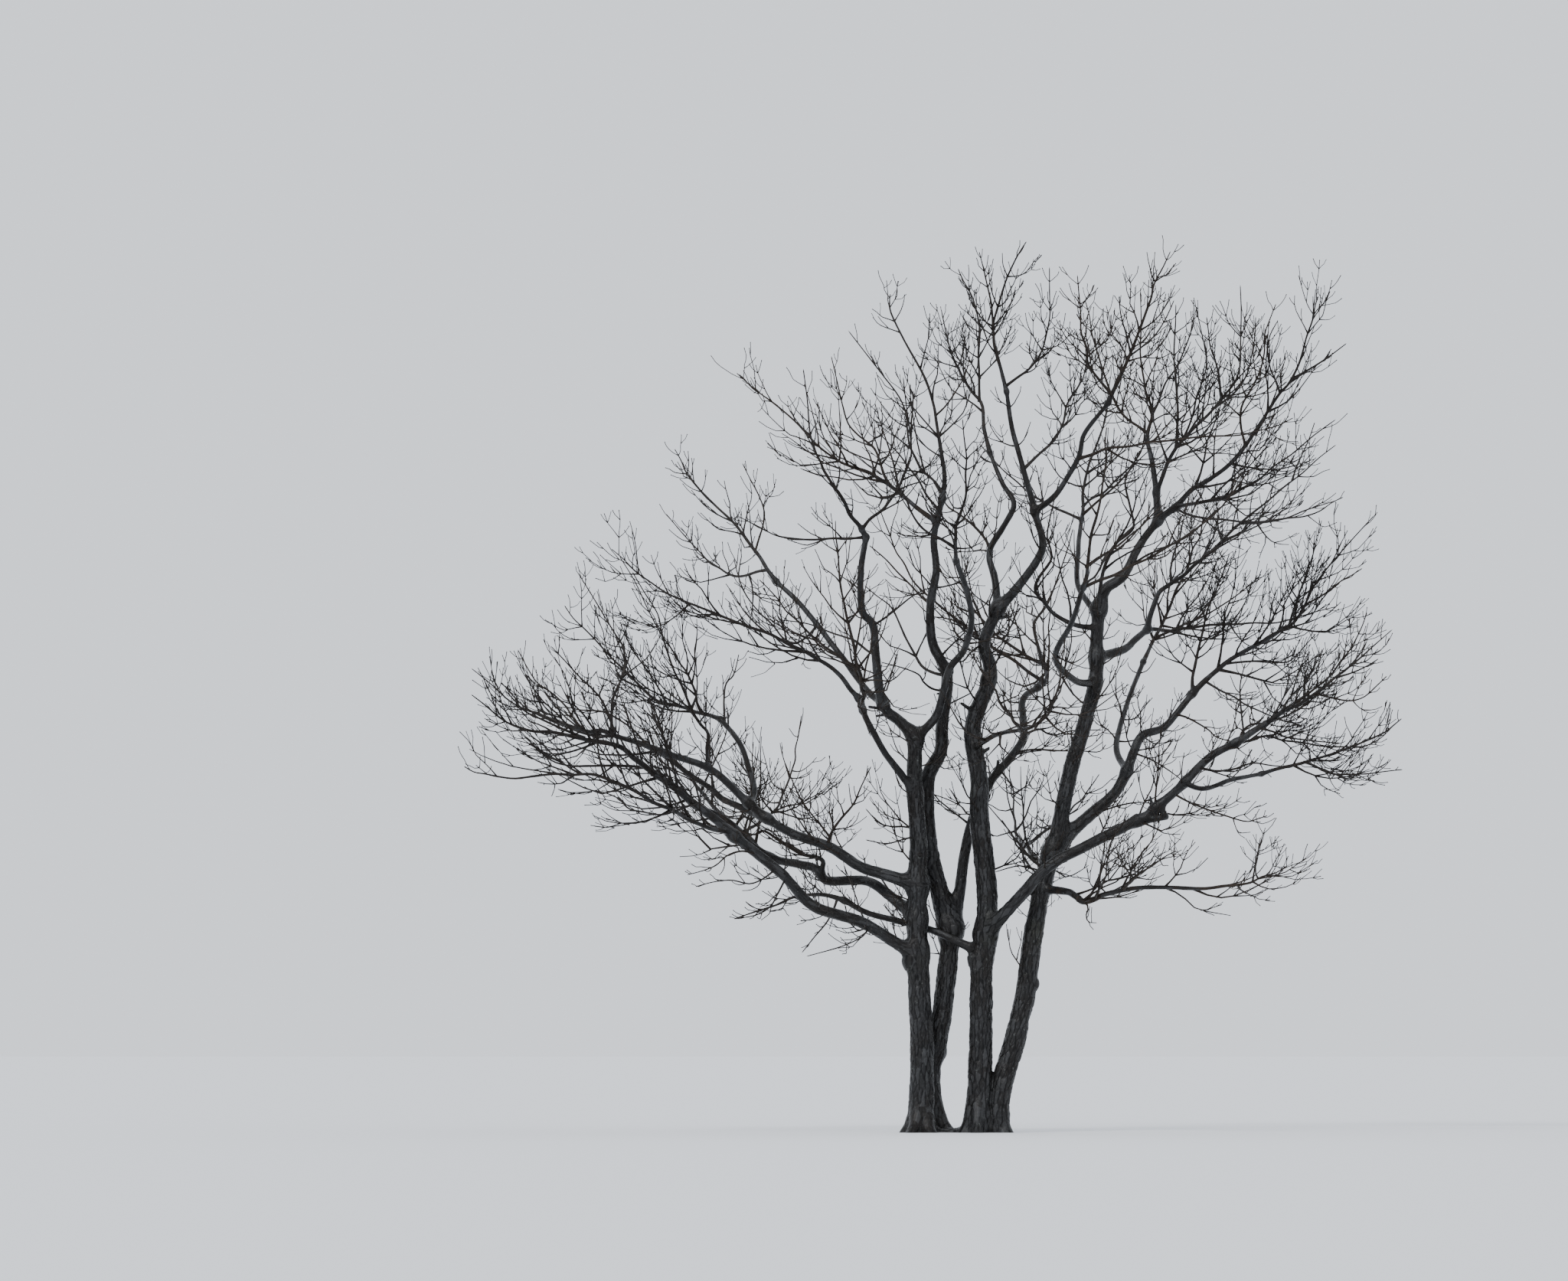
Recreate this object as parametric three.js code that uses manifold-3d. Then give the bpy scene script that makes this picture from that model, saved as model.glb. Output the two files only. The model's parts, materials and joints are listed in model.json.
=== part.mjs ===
// A bare winter tree: four stems from one root crown, their boughs, and sprays of twigs.
// Z is up, X runs to the right of the front view, Y runs away from it. The origin is on the flat cut at ground level.
// All sizes below are in metres; the finished geometry is scaled to millimetres.
import * as THREE from "three";
import { mergeVertices } from "three/addons/utils/BufferGeometryUtils.js";
import Module from "manifold-3d";

const wasm = await Module();
wasm.setup();

// Driving dimensions
const MM_PER_M = 1000;
const WORLD = 40; // a box of this side holds the whole tree
const CLEARANCE = 0.0003; // between any two neighbouring pieces
const STEM_CUT = 1.0; // height where the root crown ends and the four stems begin
const FLARE_HEIGHT = 0.22; // height over which a stem's foot narrows
const SADDLE_RADIUS = 0.085; // low wood between the two pairs of stems
const TWIG_TIP = 0.008; // radius where a spray's stem ends
const LOWEST_TWIG = 2.0; // nothing of a spray hangs below this height

// Routes are written as they look from the front, from this far away and at this eye height.
const VIEW_DISTANCE = 75;
const EYE_HEIGHT = 1.0;

// How finely each kind of limb is faceted
const STEM_SIDES = 10;
const BUTTRESS_SIDES = 5;
const FOOT_RINGS = 5; // rings below the stem cut, closest together near the ground
const BOUGH_SIDES = 6;
const BOUGH_RINGS = 1.2; // for each stretch between two of the route's points
const SPRAY_STEM_SIDES = 4;
const TWIG_SIDES = 3;

// The growth rule for side shoots: level 1 leaves a spray's stem, level 2 leaves level 1.
const PAIR_SPACING = [1.15, 1.1]; // metres of parent for each pair of shoots
const SHOOT_LENGTH = [0.34, 0.5]; // share of the parent's length
const SHOOT_LONGEST = [1.15, 0.6];
const SHOOT_SHORTEST = 0.16;
const SHOOT_FROM = [0.16, 0.25]; // share of the parent that stays bare at its foot
const SHOOT_ANGLE = [0.75, 0.7]; // radians between parent and shoot
const SHOOT_LIFT = [0.34, 0.26]; // how strongly a shoot turns up towards its end
const LENGTH_SPREAD = [0.65, 1.25]; // each shoot's own draw, as a share of its size by rule
const ANGLE_SPREAD = [0.75, 1.25];
const LIFT_SPREAD = [0.6, 1.4];
const SHORTER_AHEAD = 0.62; // how much shorter shoots are at the parent's tip than at its foot
const UNDERSIDE = 0.3; // how far a shoot on the underside keeps its downward heading
const FOLLOW = 0.25; // how much a shoot's outer half turns to its parent's heading
const SHOOT_SLENDER = 0.013; // radius of a shoot's foot for each metre of its length
const SHOOT_THINNEST = 0.007;
const SHOOT_SHARE = 0.72; // at most this share of its parent's radius
const GOLDEN_ANGLE = 2.39996;
const OWN_SPACE = 0.05; // a twig stays this much nearer to its own stems than to another spray's
const LIMB_GAP = 0.03; // and this far from every limb

const BARK = { color: 0x3b352f, roughness: 0.92, metalness: 0 };
const TWIG_BARK = { color: 0x453a33, roughness: 0.85, metalness: 0 };

// Stems: radius at the foot and at the tip, extra radius of the flare at ground level, and the route,
// which starts a little below the flat cut.
const STEMS = [
  { name: "stem_left", thick: 0.147, thin: 0.08, flare: 0.03, route: [
    [-0.4, 0, -0.12], [-0.39, 0, 1], [-0.43, 0, 2], [-0.44, 0, 2.6], [-0.43, -0.03, 3.4], [-0.47, -0.06, 4.15], [-0.46, -0.1, 4.65]] },
  { name: "stem_rear", thick: 0.127, thin: 0.11, flare: 0.03, route: [
    [-0.27, 0.17, -0.12], [-0.3, 0.2, 0.7], [-0.2, 0.23, 1.1], [-0.14, 0.25, 1.5], [-0.07, 0.26, 2.05], [-0.05, 0.27, 2.4]] },
  { name: "stem_centre", thick: 0.145, thin: 0.065, flare: 0.035, route: [
    [0.27, 0, -0.12], [0.3, 0, 1], [0.31, 0, 1.8], [0.38, 0, 2.7], [0.29, 0, 3.75], [0.29, 0, 4.15], [0.21, 0.03, 4.75],
    [0.4, 0.05, 5.25], [0.41, 0.05, 5.5], [0.35, 0.05, 5.75], [0.51, 0.05, 6.15]] },
  { name: "stem_right", thick: 0.137, thin: 0.07, flare: 0.02, route: [
    [0.46, 0.02, -0.12], [0.53, 0.03, 0.5], [0.68, 0.05, 1], [0.81, 0.07, 1.55], [0.95, 0.1, 2.5], [1.07, 0.12, 3.05], [1.2, 0.14, 3.45],
    [1.34, 0.16, 4.15], [1.64, 0.2, 5.2], [1.67, 0.2, 5.7], [1.7, 0.2, 6.15]] },
];

// Buttress roots: the stem they leave, their bearing in degrees from +X towards +Y, and how far out they reach.
const BUTTRESS = { radius: 0.075, toe: 0.05, height: 0.42 };
const BUTTRESSES = [
  ["stem_left", 185, 0.2], ["stem_left", 245, 0.3], ["stem_left", 300, 0.26],
  ["stem_rear", 350, 0.24], ["stem_rear", 60, 0.3], ["stem_rear", 125, 0.28],
  ["stem_centre", 205, 0.2], ["stem_centre", 265, 0.3], ["stem_centre", 95, 0.3],
  ["stem_right", 320, 0.22], ["stem_right", 55, 0.26],
];

// Boughs: the limb they leave, at which of its route's points, radius at the foot and at the tip,
// and the rest of the route.
const BOUGHS = [
  { name: "bough_left_low", from: "stem_left", at: 2.15, thick: 0.072, thin: 0.056, route: [
    [-0.66, -0.08, 2.2], [-1.1, -0.22, 2.46], [-1.65, -0.42, 2.65], [-2.05, -0.55, 3.05], [-2.6, -0.72, 3.48]] },
  { name: "bough_left_mid", from: "stem_left", at: 2.85, thick: 0.064, thin: 0.046, route: [
    [-0.8, 0.2, 2.8], [-1.05, 0.3, 2.95], [-1.5, 0.48, 2.95], [-1.65, 0.55, 3.1], [-2.15, 0.75, 3.2]] },
  { name: "bough_left_high", from: "stem_left", at: 3.4, thick: 0.074, thin: 0.038, route: [
    [-0.75, -0.02, 3.0], [-1.1, -0.03, 3.12], [-1.5, -0.05, 3.36], [-1.95, -0.05, 3.52], [-2.38, -0.05, 3.82],
    [-2.85, -0.1, 4.25], [-3.4, -0.2, 4.45]] },
  { name: "bough_left_rise", from: "bough_left_high", at: 5.1, thick: 0.043, thin: 0.029, route: [
    [-2.36, 0.15, 4.05], [-2.52, 0.5, 4.55], [-2.75, 0.8, 4.85]] },
  { name: "bough_left_front", from: "stem_left", at: 4.75, thick: 0.046, thin: 0.034, route: [
    [-0.63, -0.22, 4.2], [-0.82, -0.5, 4.46], [-1.02, -0.85, 4.81], [-1.13, -1.15, 5.1]] },
  { name: "bough_left_up", from: "stem_left", at: 6, thick: 0.067, thin: 0.032, route: [
    [-0.64, -0.14, 4.82], [-0.84, -0.22, 5.03], [-0.93, -0.4, 5.6], [-0.96, -0.5, 5.95], [-1.09, -0.6, 6.14],
    [-1.1, -0.8, 6.6], [-1.04, -0.95, 7.0]] },
  { name: "bough_left_back", from: "bough_left_up", at: 2, thick: 0.043, thin: 0.027, route: [
    [-1.02, 0.0, 5.18], [-1.34, 0.35, 5.6], [-1.79, 0.7, 6.18], [-2.1, 0.9, 6.48]] },
  { name: "bough_inner_up", from: "stem_rear", at: 5, thick: 0.108, thin: 0.034, route: [
    [-0.17, 0.27, 2.78], [-0.29, 0.26, 3.3], [-0.33, 0.25, 3.85], [-0.31, 0.21, 4.2], [-0.16, 0.12, 4.47], [-0.15, 0.06, 4.8],
    [-0.08, -0.02, 5.25], [-0.11, -0.08, 5.45], [-0.26, -0.18, 5.75], [-0.28, -0.3, 6.2], [-0.21, -0.4, 6.6], [-0.24, -0.5, 7.0],
    [-0.14, -0.58, 7.45]] },
  { name: "bough_inner_front", from: "stem_left", at: 6, thick: 0.052, thin: 0.03, route: [
    [-0.32, -0.17, 4.76], [-0.2, -0.24, 4.92], [-0.13, -0.34, 5.2], [-0.05, -0.46, 5.45], [0.12, -0.65, 5.68], [0.2, -0.98, 6.0],
    [0.15, -1.35, 6.35], [0.02, -1.7, 6.72]] },
  { name: "bough_rear_right", from: "stem_rear", at: 4.8, thick: 0.072, thin: 0.036, route: [
    [0.04, 0.31, 2.7], [0.13, 0.35, 3.35], [0.28, 0.37, 3.86], [0.5, 0.45, 4.22], [0.8, 0.7, 4.6], [0.8, 1.1, 5.06], [0.98, 1.4, 5.22]] },
  { name: "bough_centre_low", from: "stem_centre", at: 2.35, thick: 0.042, thin: 0.031, route: [
    [0.06, 0.05, 2.22], [-0.1, 0.08, 2.3], [-0.27, 0.14, 2.37], [-0.55, 0.18, 2.45], [-1.0, 0.2, 2.56], [-1.3, 0.2, 2.72]] },
  { name: "bough_centre_left", from: "stem_centre", at: 10, thick: 0.047, thin: 0.024, route: [
    [0.48, 0.2, 6.5], [0.42, 0.35, 6.85], [0.7, 0.6, 7.34], [0.56, 0.75, 7.65], [0.42, 0.9, 8.0]] },
  { name: "bough_centre_right", from: "stem_centre", at: 10, thick: 0.058, thin: 0.024, route: [
    [0.7, 0.0, 6.35], [0.96, 0.0, 6.7], [1.04, 0.0, 6.93], [0.95, 0.02, 7.3], [0.82, 0.05, 7.8], [0.68, 0.1, 8.3], [0.62, 0.12, 8.72]] },
  { name: "bough_centre_top", from: "bough_centre_right", at: 4, thick: 0.036, thin: 0.025, route: [
    [1.2, -0.15, 7.5], [1.46, -0.3, 7.92], [1.54, -0.4, 8.22], [1.82, -0.5, 8.58]] },
  { name: "bough_right_low", from: "stem_centre", at: 2.6, thick: 0.077, thin: 0.042, route: [
    [0.56, -0.18, 2.54], [0.83, -0.28, 2.83], [1.15, -0.34, 3.15], [2.0, -0.44, 3.58], [2.28, -0.48, 3.73], [2.66, -0.55, 4.06],
    [3.0, -0.62, 4.4], [3.3, -0.68, 4.56]] },
  { name: "bough_right_under", from: "bough_right_low", at: 6.1, thick: 0.031, thin: 0.023, route: [
    [2.92, -0.85, 4.03], [3.25, -1.15, 4.13], [3.6, -1.4, 4.2]] },
  { name: "bough_right_mid", from: "stem_right", at: 5.6, thick: 0.078, thin: 0.036, route: [
    [1.45, 0.25, 3.6], [1.9, 0.38, 4.0], [2.1, 0.46, 4.45], [2.22, 0.5, 4.66], [2.48, 0.58, 4.77], [2.8, 0.68, 5.15]] },
  { name: "bough_right_rise", from: "bough_right_mid", at: 2.5, thick: 0.041, thin: 0.027, route: [
    [1.9, 0.85, 4.52], [2.02, 1.4, 5.0], [2.22, 2.0, 5.52]] },
  { name: "bough_right_inner", from: "stem_right", at: 8.7, thick: 0.05, thin: 0.037, route: [
    [1.98, 0.45, 5.66], [2.12, 0.6, 5.78], [2.27, 0.8, 5.9]] },
  { name: "bough_right_front", from: "stem_right", at: 8.1, thick: 0.045, thin: 0.028, route: [
    [1.42, -0.3, 5.3], [1.19, -0.9, 5.58], [1.38, -1.6, 5.98], [1.52, -2.1, 6.4]] },
  { name: "bough_right_back", from: "stem_right", at: 9.8, thick: 0.037, thin: 0.026, route: [
    [1.46, 0.7, 6.42], [1.46, 1.1, 6.85], [1.5, 1.5, 7.2]] },
  { name: "bough_right_top", from: "stem_right", at: 10, thick: 0.068, thin: 0.036, route: [
    [1.78, 0.2, 6.38], [1.98, 0.22, 6.52], [2.14, 0.25, 6.82], [2.4, 0.25, 7.18], [2.62, 0.2, 7.35]] },
  { name: "bough_right_peak", from: "bough_right_top", at: 4, thick: 0.042, thin: 0.026, route: [
    [2.38, 0.4, 7.55], [2.34, 0.5, 7.85], [2.27, 0.62, 8.15]] },
];

// Sprays: the limb their stem meets and at which of its route's points, the stem's radius at its foot, its route,
// and the forks that leave the stem.
const SPRAYS = [
  { name: "spray_left_low", from: "bough_left_low", at: 5, thick: 0.051, route: [
    [-3.1, -0.9, 3.9], [-3.6, -1.1, 4.27], [-4.0, -1.25, 4.55], [-4.6, -1.45, 4.67], [-5.2, -1.6, 4.78], [-5.7, -1.7, 5.15]], forks: [
    { at: 0.1, thick: 0.03, route: [
      [-2.95, -1.15, 3.6], [-3.45, -1.55, 3.84], [-4.15, -1.9, 4.17], [-4.8, -2.2, 4.2], [-5.4, -2.4, 4.17], [-5.78, -2.5, 4.3]] },
    { at: 3.6, thick: 0.016, route: [[-4.96, -1.4, 4.9], [-5.3, -1.3, 5.2]] }] },
  { name: "spray_left_mid", from: "bough_left_mid", at: 5, thick: 0.041, route: [
    [-2.5, 1.2, 3.5], [-2.95, 1.9, 3.95], [-3.35, 2.6, 4.5], [-3.6, 3.1, 5.1]], forks: [
    { at: 1, thick: 0.02, route: [[-2.1, 2.0, 3.8], [-1.9, 2.9, 4.3], [-1.8, 3.6, 4.9]] }] },
  { name: "spray_left_high", from: "bough_left_high", at: 7, thick: 0.033, route: [
    [-4.05, -0.3, 4.68], [-4.4, -0.35, 4.73], [-4.8, -0.45, 4.87], [-5.15, -0.5, 5.02], [-5.7, -0.6, 5.46]], forks: [
    { at: 1, thick: 0.021, route: [[-4.03, 0.0, 5.05], [-3.88, 0.2, 5.55], [-4.02, 0.3, 5.9], [-4.45, 0.45, 6.6]] }] },
  { name: "spray_left_rise", from: "bough_left_rise", at: 3, thick: 0.026, route: [
    [-3.12, 1.05, 4.96], [-3.5, 1.3, 5.08], [-3.82, 1.5, 5.36], [-4.3, 1.8, 5.85], [-4.6, 2.0, 6.2]], forks: [
    { at: 0.6, thick: 0.018, route: [[-3.12, 0.8, 5.33], [-3.4, 0.75, 5.8], [-3.95, 0.7, 6.78]] }] },
  { name: "spray_left_inner", from: "bough_left_high", at: 3, thick: 0.02, route: [
    [-1.4, -0.25, 3.62], [-1.15, -0.4, 3.92], [-0.98, -0.5, 4.3]], forks: [
    { at: 0.4, thick: 0.014, route: [[-1.75, -0.3, 3.82], [-2.0, -0.4, 4.35]] }] },
  { name: "spray_left_hang", from: "bough_centre_low", at: 6, thick: 0.028, route: [
    [-1.7, 0.15, 2.79], [-2.1, 0.08, 2.66], [-2.6, 0.0, 2.5]], forks: [
    { at: 0.2, thick: 0.014, route: [[-1.5, 0.35, 2.45], [-1.8, 0.45, 2.1]] }] },
  { name: "spray_left_long", from: "bough_left_front", at: 4, thick: 0.029, route: [
    [-1.5, -1.4, 5.5], [-2.04, -1.65, 5.8], [-2.85, -1.85, 6.1], [-3.55, -2.0, 6.45], [-4.05, -2.1, 6.87]] },
  { name: "spray_left_front", from: "bough_left_front", at: 3.5, thick: 0.031, route: [
    [-1.08, -1.6, 5.2], [-1.2, -2.3, 5.75], [-1.35, -3.0, 6.5], [-1.4, -3.5, 7.2]], forks: [
    { at: 1.5, thick: 0.019, route: [[-1.75, -2.8, 5.9], [-2.3, -3.6, 6.5]] }] },
  { name: "spray_left_back", from: "bough_left_back", at: 4, thick: 0.026, route: [
    [-2.35, 1.05, 6.82], [-2.62, 1.2, 7.18], [-3.1, 1.4, 7.68], [-3.3, 1.5, 8.05]], forks: [
    { at: 0.4, thick: 0.019, route: [[-2.6, 1.6, 6.55], [-2.95, 2.0, 6.78], [-3.4, 2.4, 7.28]] }] },
  { name: "spray_left_top", from: "bough_left_up", at: 7, thick: 0.028, route: [
    [-1.25, -1.15, 7.35], [-1.52, -1.4, 7.78], [-1.67, -1.5, 8.1], [-1.78, -1.7, 9.0]], forks: [
    { at: 0.25, thick: 0.021, route: [[-0.72, -1.4, 7.5], [-0.52, -1.6, 7.9], [-0.6, -1.9, 8.9]] },
    { at: 0, thick: 0.018, route: [[-1.5, -1.0, 6.98], [-2.02, -0.9, 7.0], [-2.55, -0.8, 7.25]] }] },
  { name: "spray_inner_reach", from: "bough_inner_up", at: 12.4, thick: 0.027, route: [
    [-0.75, -0.4, 7.6], [-1.1, -0.3, 7.8], [-1.47, -0.15, 7.98], [-2.15, 0.15, 8.6], [-2.57, 0.3, 8.95]], forks: [
    { at: 1, thick: 0.018, route: [[-0.95, -0.1, 8.05], [-1.25, 0.2, 8.35], [-1.45, 0.4, 9.15]] }] },
  { name: "spray_inner_top", from: "bough_inner_up", at: 13, thick: 0.03, route: [
    [-0.12, -0.65, 7.8], [-0.2, -0.7, 8.25], [-0.3, -0.8, 8.75], [-0.72, -0.9, 9.6], [-0.75, -0.95, 9.88]], forks: [
    { at: 0.2, thick: 0.018, route: [[-0.5, -0.8, 8.0], [-0.62, -0.9, 8.6], [-1.25, -1.1, 9.45]] }] },
  { name: "spray_front", from: "bough_inner_front", at: 8, thick: 0.026, route: [
    [0.02, -2.2, 7.05], [0.15, -2.8, 7.65], [0.1, -3.3, 8.4]], forks: [
    { at: 0.5, thick: 0.02, route: [[-0.4, -2.6, 7.15], [-0.75, -3.3, 7.8]] }] },
  { name: "spray_rear_right", from: "bough_rear_right", at: 7, thick: 0.031, route: [
    [1.08, 1.8, 5.4], [0.94, 2.4, 5.93], [1.15, 2.9, 6.3], [1.4, 3.5, 7.1]], forks: [
    { at: 1.2, thick: 0.022, route: [[0.6, 2.4, 5.75], [0.2, 3.0, 6.2], [-0.1, 3.6, 6.9]] },
    { at: 0.5, thick: 0.022, route: [[0.2, 1.9, 5.9], [-0.5, 2.4, 6.5], [-0.9, 2.8, 7.4]] }] },
  { name: "spray_centre_left", from: "bough_centre_left", at: 5, thick: 0.024, route: [
    [0.3, 1.1, 8.6], [0.08, 1.25, 8.93], [-0.05, 1.4, 9.25], [-0.15, 1.5, 9.7]], forks: [
    { at: 1, thick: 0.017, route: [[0.3, 1.2, 9.1], [0.25, 1.25, 9.75], [0.05, 1.3, 10.18]] }] },
  { name: "spray_summit", from: "bough_centre_right", at: 7, thick: 0.023, route: [
    [0.49, 0.15, 9.3], [0.48, 0.2, 9.6], [0.7, 0.2, 10.22], [0.86, 0.2, 10.5]], forks: [
    { at: 0.1, thick: 0.017, route: [[0.95, 0.2, 9.05], [1.1, 0.25, 9.45], [1.13, 0.3, 10.2]] },
    { at: 1.5, thick: 0.014, route: [[0.4, 0.2, 10.0], [0.3, 0.25, 10.38]] }] },
  { name: "spray_centre_top", from: "bough_centre_top", at: 4, thick: 0.026, route: [
    [1.97, -0.6, 8.93], [2.25, -0.7, 9.6], [2.36, -0.75, 9.95], [2.56, -0.8, 10.38]], forks: [
    { at: 0.3, thick: 0.019, route: [[1.62, -1.0, 9.0], [1.5, -1.3, 9.5], [1.46, -1.5, 10.1]] }] },
  { name: "spray_right_low", from: "bough_right_low", at: 8, thick: 0.038, route: [
    [3.8, -0.75, 4.9], [4.1, -0.8, 5.05], [4.6, -0.85, 5.42], [5.15, -0.9, 5.9]] },
  { name: "spray_right_under", from: "bough_right_under", at: 3, thick: 0.022, route: [
    [4.1, -1.7, 4.34], [4.4, -1.9, 4.43], [5.0, -2.2, 4.65], [5.25, -2.35, 4.85]], forks: [
    { at: 1, thick: 0.014, route: [[4.55, -2.2, 4.2], [5.26, -2.7, 4.25]] }] },
  { name: "spray_right_foot", from: "stem_right", at: 4.6, thick: 0.036, route: [
    [1.32, -0.2, 2.81], [1.58, -0.45, 2.72], [1.98, -0.8, 2.84], [3.0, -1.6, 2.88], [3.5, -1.9, 2.94], [3.9, -2.2, 3.12]], forks: [
    { at: 3, thick: 0.018, route: [[2.2, -1.6, 3.05], [2.6, -2.4, 3.3]] }] },
  { name: "spray_right_knob", from: "stem_right", at: 5.05, thick: 0.02, route: [
    [0.86, -0.08, 3.24], [0.7, -0.14, 3.45], [0.55, -0.2, 3.67]] },
  { name: "spray_right_mid", from: "bough_right_mid", at: 6, thick: 0.033, route: [
    [3.2, 0.8, 5.5], [3.8, 0.9, 5.87], [4.05, 0.9, 6.05], [4.28, 0.85, 6.48], [4.95, 0.8, 7.25]], forks: [
    { at: 0, thick: 0.022, route: [[2.85, 0.85, 5.6], [3.02, 1.0, 6.2], [3.24, 1.1, 6.8]] }] },
  { name: "spray_right_rear", from: "bough_right_rise", at: 3, thick: 0.025, route: [
    [2.5, 2.7, 6.1], [2.8, 3.3, 6.8], [3.0, 3.7, 7.4]], forks: [
    { at: 0.5, thick: 0.017, route: [[3.0, 2.9, 6.1], [3.6, 3.2, 6.5]] }] },
  { name: "spray_right_inner", from: "bough_right_inner", at: 3, thick: 0.034, route: [
    [2.44, 1.0, 6.36], [2.75, 1.15, 6.58], [3.2, 1.4, 7.0], [3.85, 1.7, 7.55], [4.5, 2.0, 8.08]], forks: [
    { at: 0, thick: 0.024, route: [[2.6, 1.15, 5.9], [3.05, 1.5, 5.96], [3.7, 1.9, 5.97], [4.5, 2.3, 6.17]] },
    { at: 3.3, thick: 0.017, route: [[3.85, 2.1, 7.2], [4.5, 2.5, 7.42]] }] },
  { name: "spray_right_heart", from: "stem_right", at: 9.5, thick: 0.031, route: [
    [1.37, 0.0, 5.97], [1.1, -0.18, 6.18], [0.95, -0.3, 6.42], [1.15, -0.45, 6.76], [1.1, -0.6, 7.05], [1.25, -0.8, 7.7]] },
  { name: "spray_right_front", from: "bough_right_front", at: 4, thick: 0.024, route: [
    [1.6, -2.6, 6.9], [1.75, -3.1, 7.6], [1.8, -3.4, 8.3]], forks: [
    { at: 0.5, thick: 0.018, route: [[2.0, -2.9, 6.95], [2.5, -3.3, 7.4]] },
    { at: 0, thick: 0.02, route: [[2.2, -2.1, 6.7], [3.0, -2.2, 7.2], [3.5, -2.4, 7.8]] }] },
  { name: "spray_right_back", from: "bough_right_back", at: 3, thick: 0.022, route: [
    [1.55, 2.0, 7.7], [1.75, 2.5, 8.25], [1.85, 2.9, 8.9]], forks: [
    { at: 0.3, thick: 0.017, route: [[2.0, 2.1, 7.75], [2.45, 2.6, 8.35]] },
    { at: 0, thick: 0.018, route: [[0.9, 1.9, 7.5], [0.3, 2.4, 8.1]] }] },
  { name: "spray_right_top", from: "bough_right_top", at: 5, thick: 0.033, route: [
    [2.85, 0.12, 7.58], [3.35, 0.0, 7.95], [3.72, 0.0, 8.55], [4.0, 0.0, 8.9], [4.2, 0.0, 9.5], [4.3, 0.0, 9.84]], forks: [
    { at: 3.9, thick: 0.015, route: [[4.3, 0.05, 9.03], [4.63, 0.1, 9.28]] },
    { at: 0, thick: 0.024, route: [[3.0, -0.35, 7.42], [3.4, -0.65, 7.56], [3.75, -0.9, 7.8], [4.5, -1.3, 8.38]] }] },
  { name: "spray_right_peak", from: "bough_right_peak", at: 3, thick: 0.023, route: [
    [2.33, 0.7, 8.5], [2.22, 0.8, 8.95], [2.2, 0.9, 9.9]], forks: [
    { at: 0.2, thick: 0.019, route: [[1.95, 0.8, 8.5], [1.7, 1.0, 9.2], [1.55, 1.2, 9.8]] }] },
  { name: "spray_right_crest", from: "bough_right_peak", at: 0.9, thick: 0.026, route: [
    [2.62, 0.2, 8.05], [3.04, 0.0, 8.5], [3.35, -0.25, 8.95], [3.38, -0.35, 9.98]], forks: [
    { at: 1, thick: 0.018, route: [[2.62, 0.15, 8.6], [2.6, 0.2, 9.2], [2.62, 0.2, 9.75]] }] },
  { name: "spray_back_low", from: "stem_right", at: 5.1, thick: 0.036, route: [
    [0.92, 0.8, 3.25], [0.75, 1.8, 3.45], [0.7, 2.8, 3.75], [0.65, 3.8, 4.3]], forks: [
    { at: 1.6, thick: 0.022, route: [[1.3, 2.3, 3.7], [1.7, 3.3, 4.2]] }] },
  { name: "spray_front_mid", from: "stem_centre", at: 5.6, thick: 0.034, route: [
    [0.5, -0.7, 4.66], [0.95, -1.7, 4.78], [1.2, -2.7, 5.1], [1.3, -3.7, 5.8]], forks: [
    { at: 1.6, thick: 0.022, route: [[0.55, -2.4, 5.05], [0.25, -3.4, 5.6]] }] },
];

// A place as it looks from the front, turned into the true place at its own depth.
function truePlace([x, y, z]) {
  const reach = 1 + y / VIEW_DISTANCE;
  return new THREE.Vector3(x * reach, y, EYE_HEIGHT + (z - EYE_HEIGHT) * reach);
}

// A limb's centre line, with its radius falling evenly from thick to thin.
function makeLimb({ name, thick, thin = TWIG_TIP, flare = 0 }, points) {
  const curve = new THREE.CatmullRomCurve3(points, false, "catmullrom", 0.5);
  const last = points.length - 1;
  return {
    name,
    curve,
    last,
    thick,
    thin,
    flare,
    at: (place) => curve.getPoint(Math.min(place / last, 1)),
    radius: (t) => {
      const height = curve.getPoint(t).z;
      const foot = flare ? flare * Math.exp(-Math.max(height, 0) / FLARE_HEIGHT) : 0;
      return thick + (thin - thick) * t + foot;
    },
  };
}

function branch(row, parents) {
  const parent = parents.get(row.from);
  return makeLimb(row, [parent.at(row.at), ...row.route.map(truePlace)]);
}

// A closed solid from any geometry.
function solid(geometry) {
  const bare = new THREE.BufferGeometry()
    .setAttribute("position", geometry.getAttribute("position"))
    .setIndex(geometry.index);
  const merged = mergeVertices(bare, 1e-6);
  return new wasm.Manifold(new wasm.Mesh({
    numProp: 3,
    vertProperties: new Float32Array(merged.attributes.position.array),
    triVerts: new Uint32Array(merged.index.array),
  }));
}

// Shares of a limb's length, evenly apart.
const evenly = (steps) => Array.from({ length: steps + 1 }, (_, i) => i / steps);
// Shares for a stem: closer together over the flare, which lies in the route's first stretch.
function stemShares(stem) {
  const foot = evenly(FOOT_RINGS).map((share) => share ** 1.5 / stem.last);
  const rest = evenly(2 * (stem.last - 1)).map((share) => (1 + share * (stem.last - 1)) / stem.last);
  return [...foot, ...rest.slice(1)];
}

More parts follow.
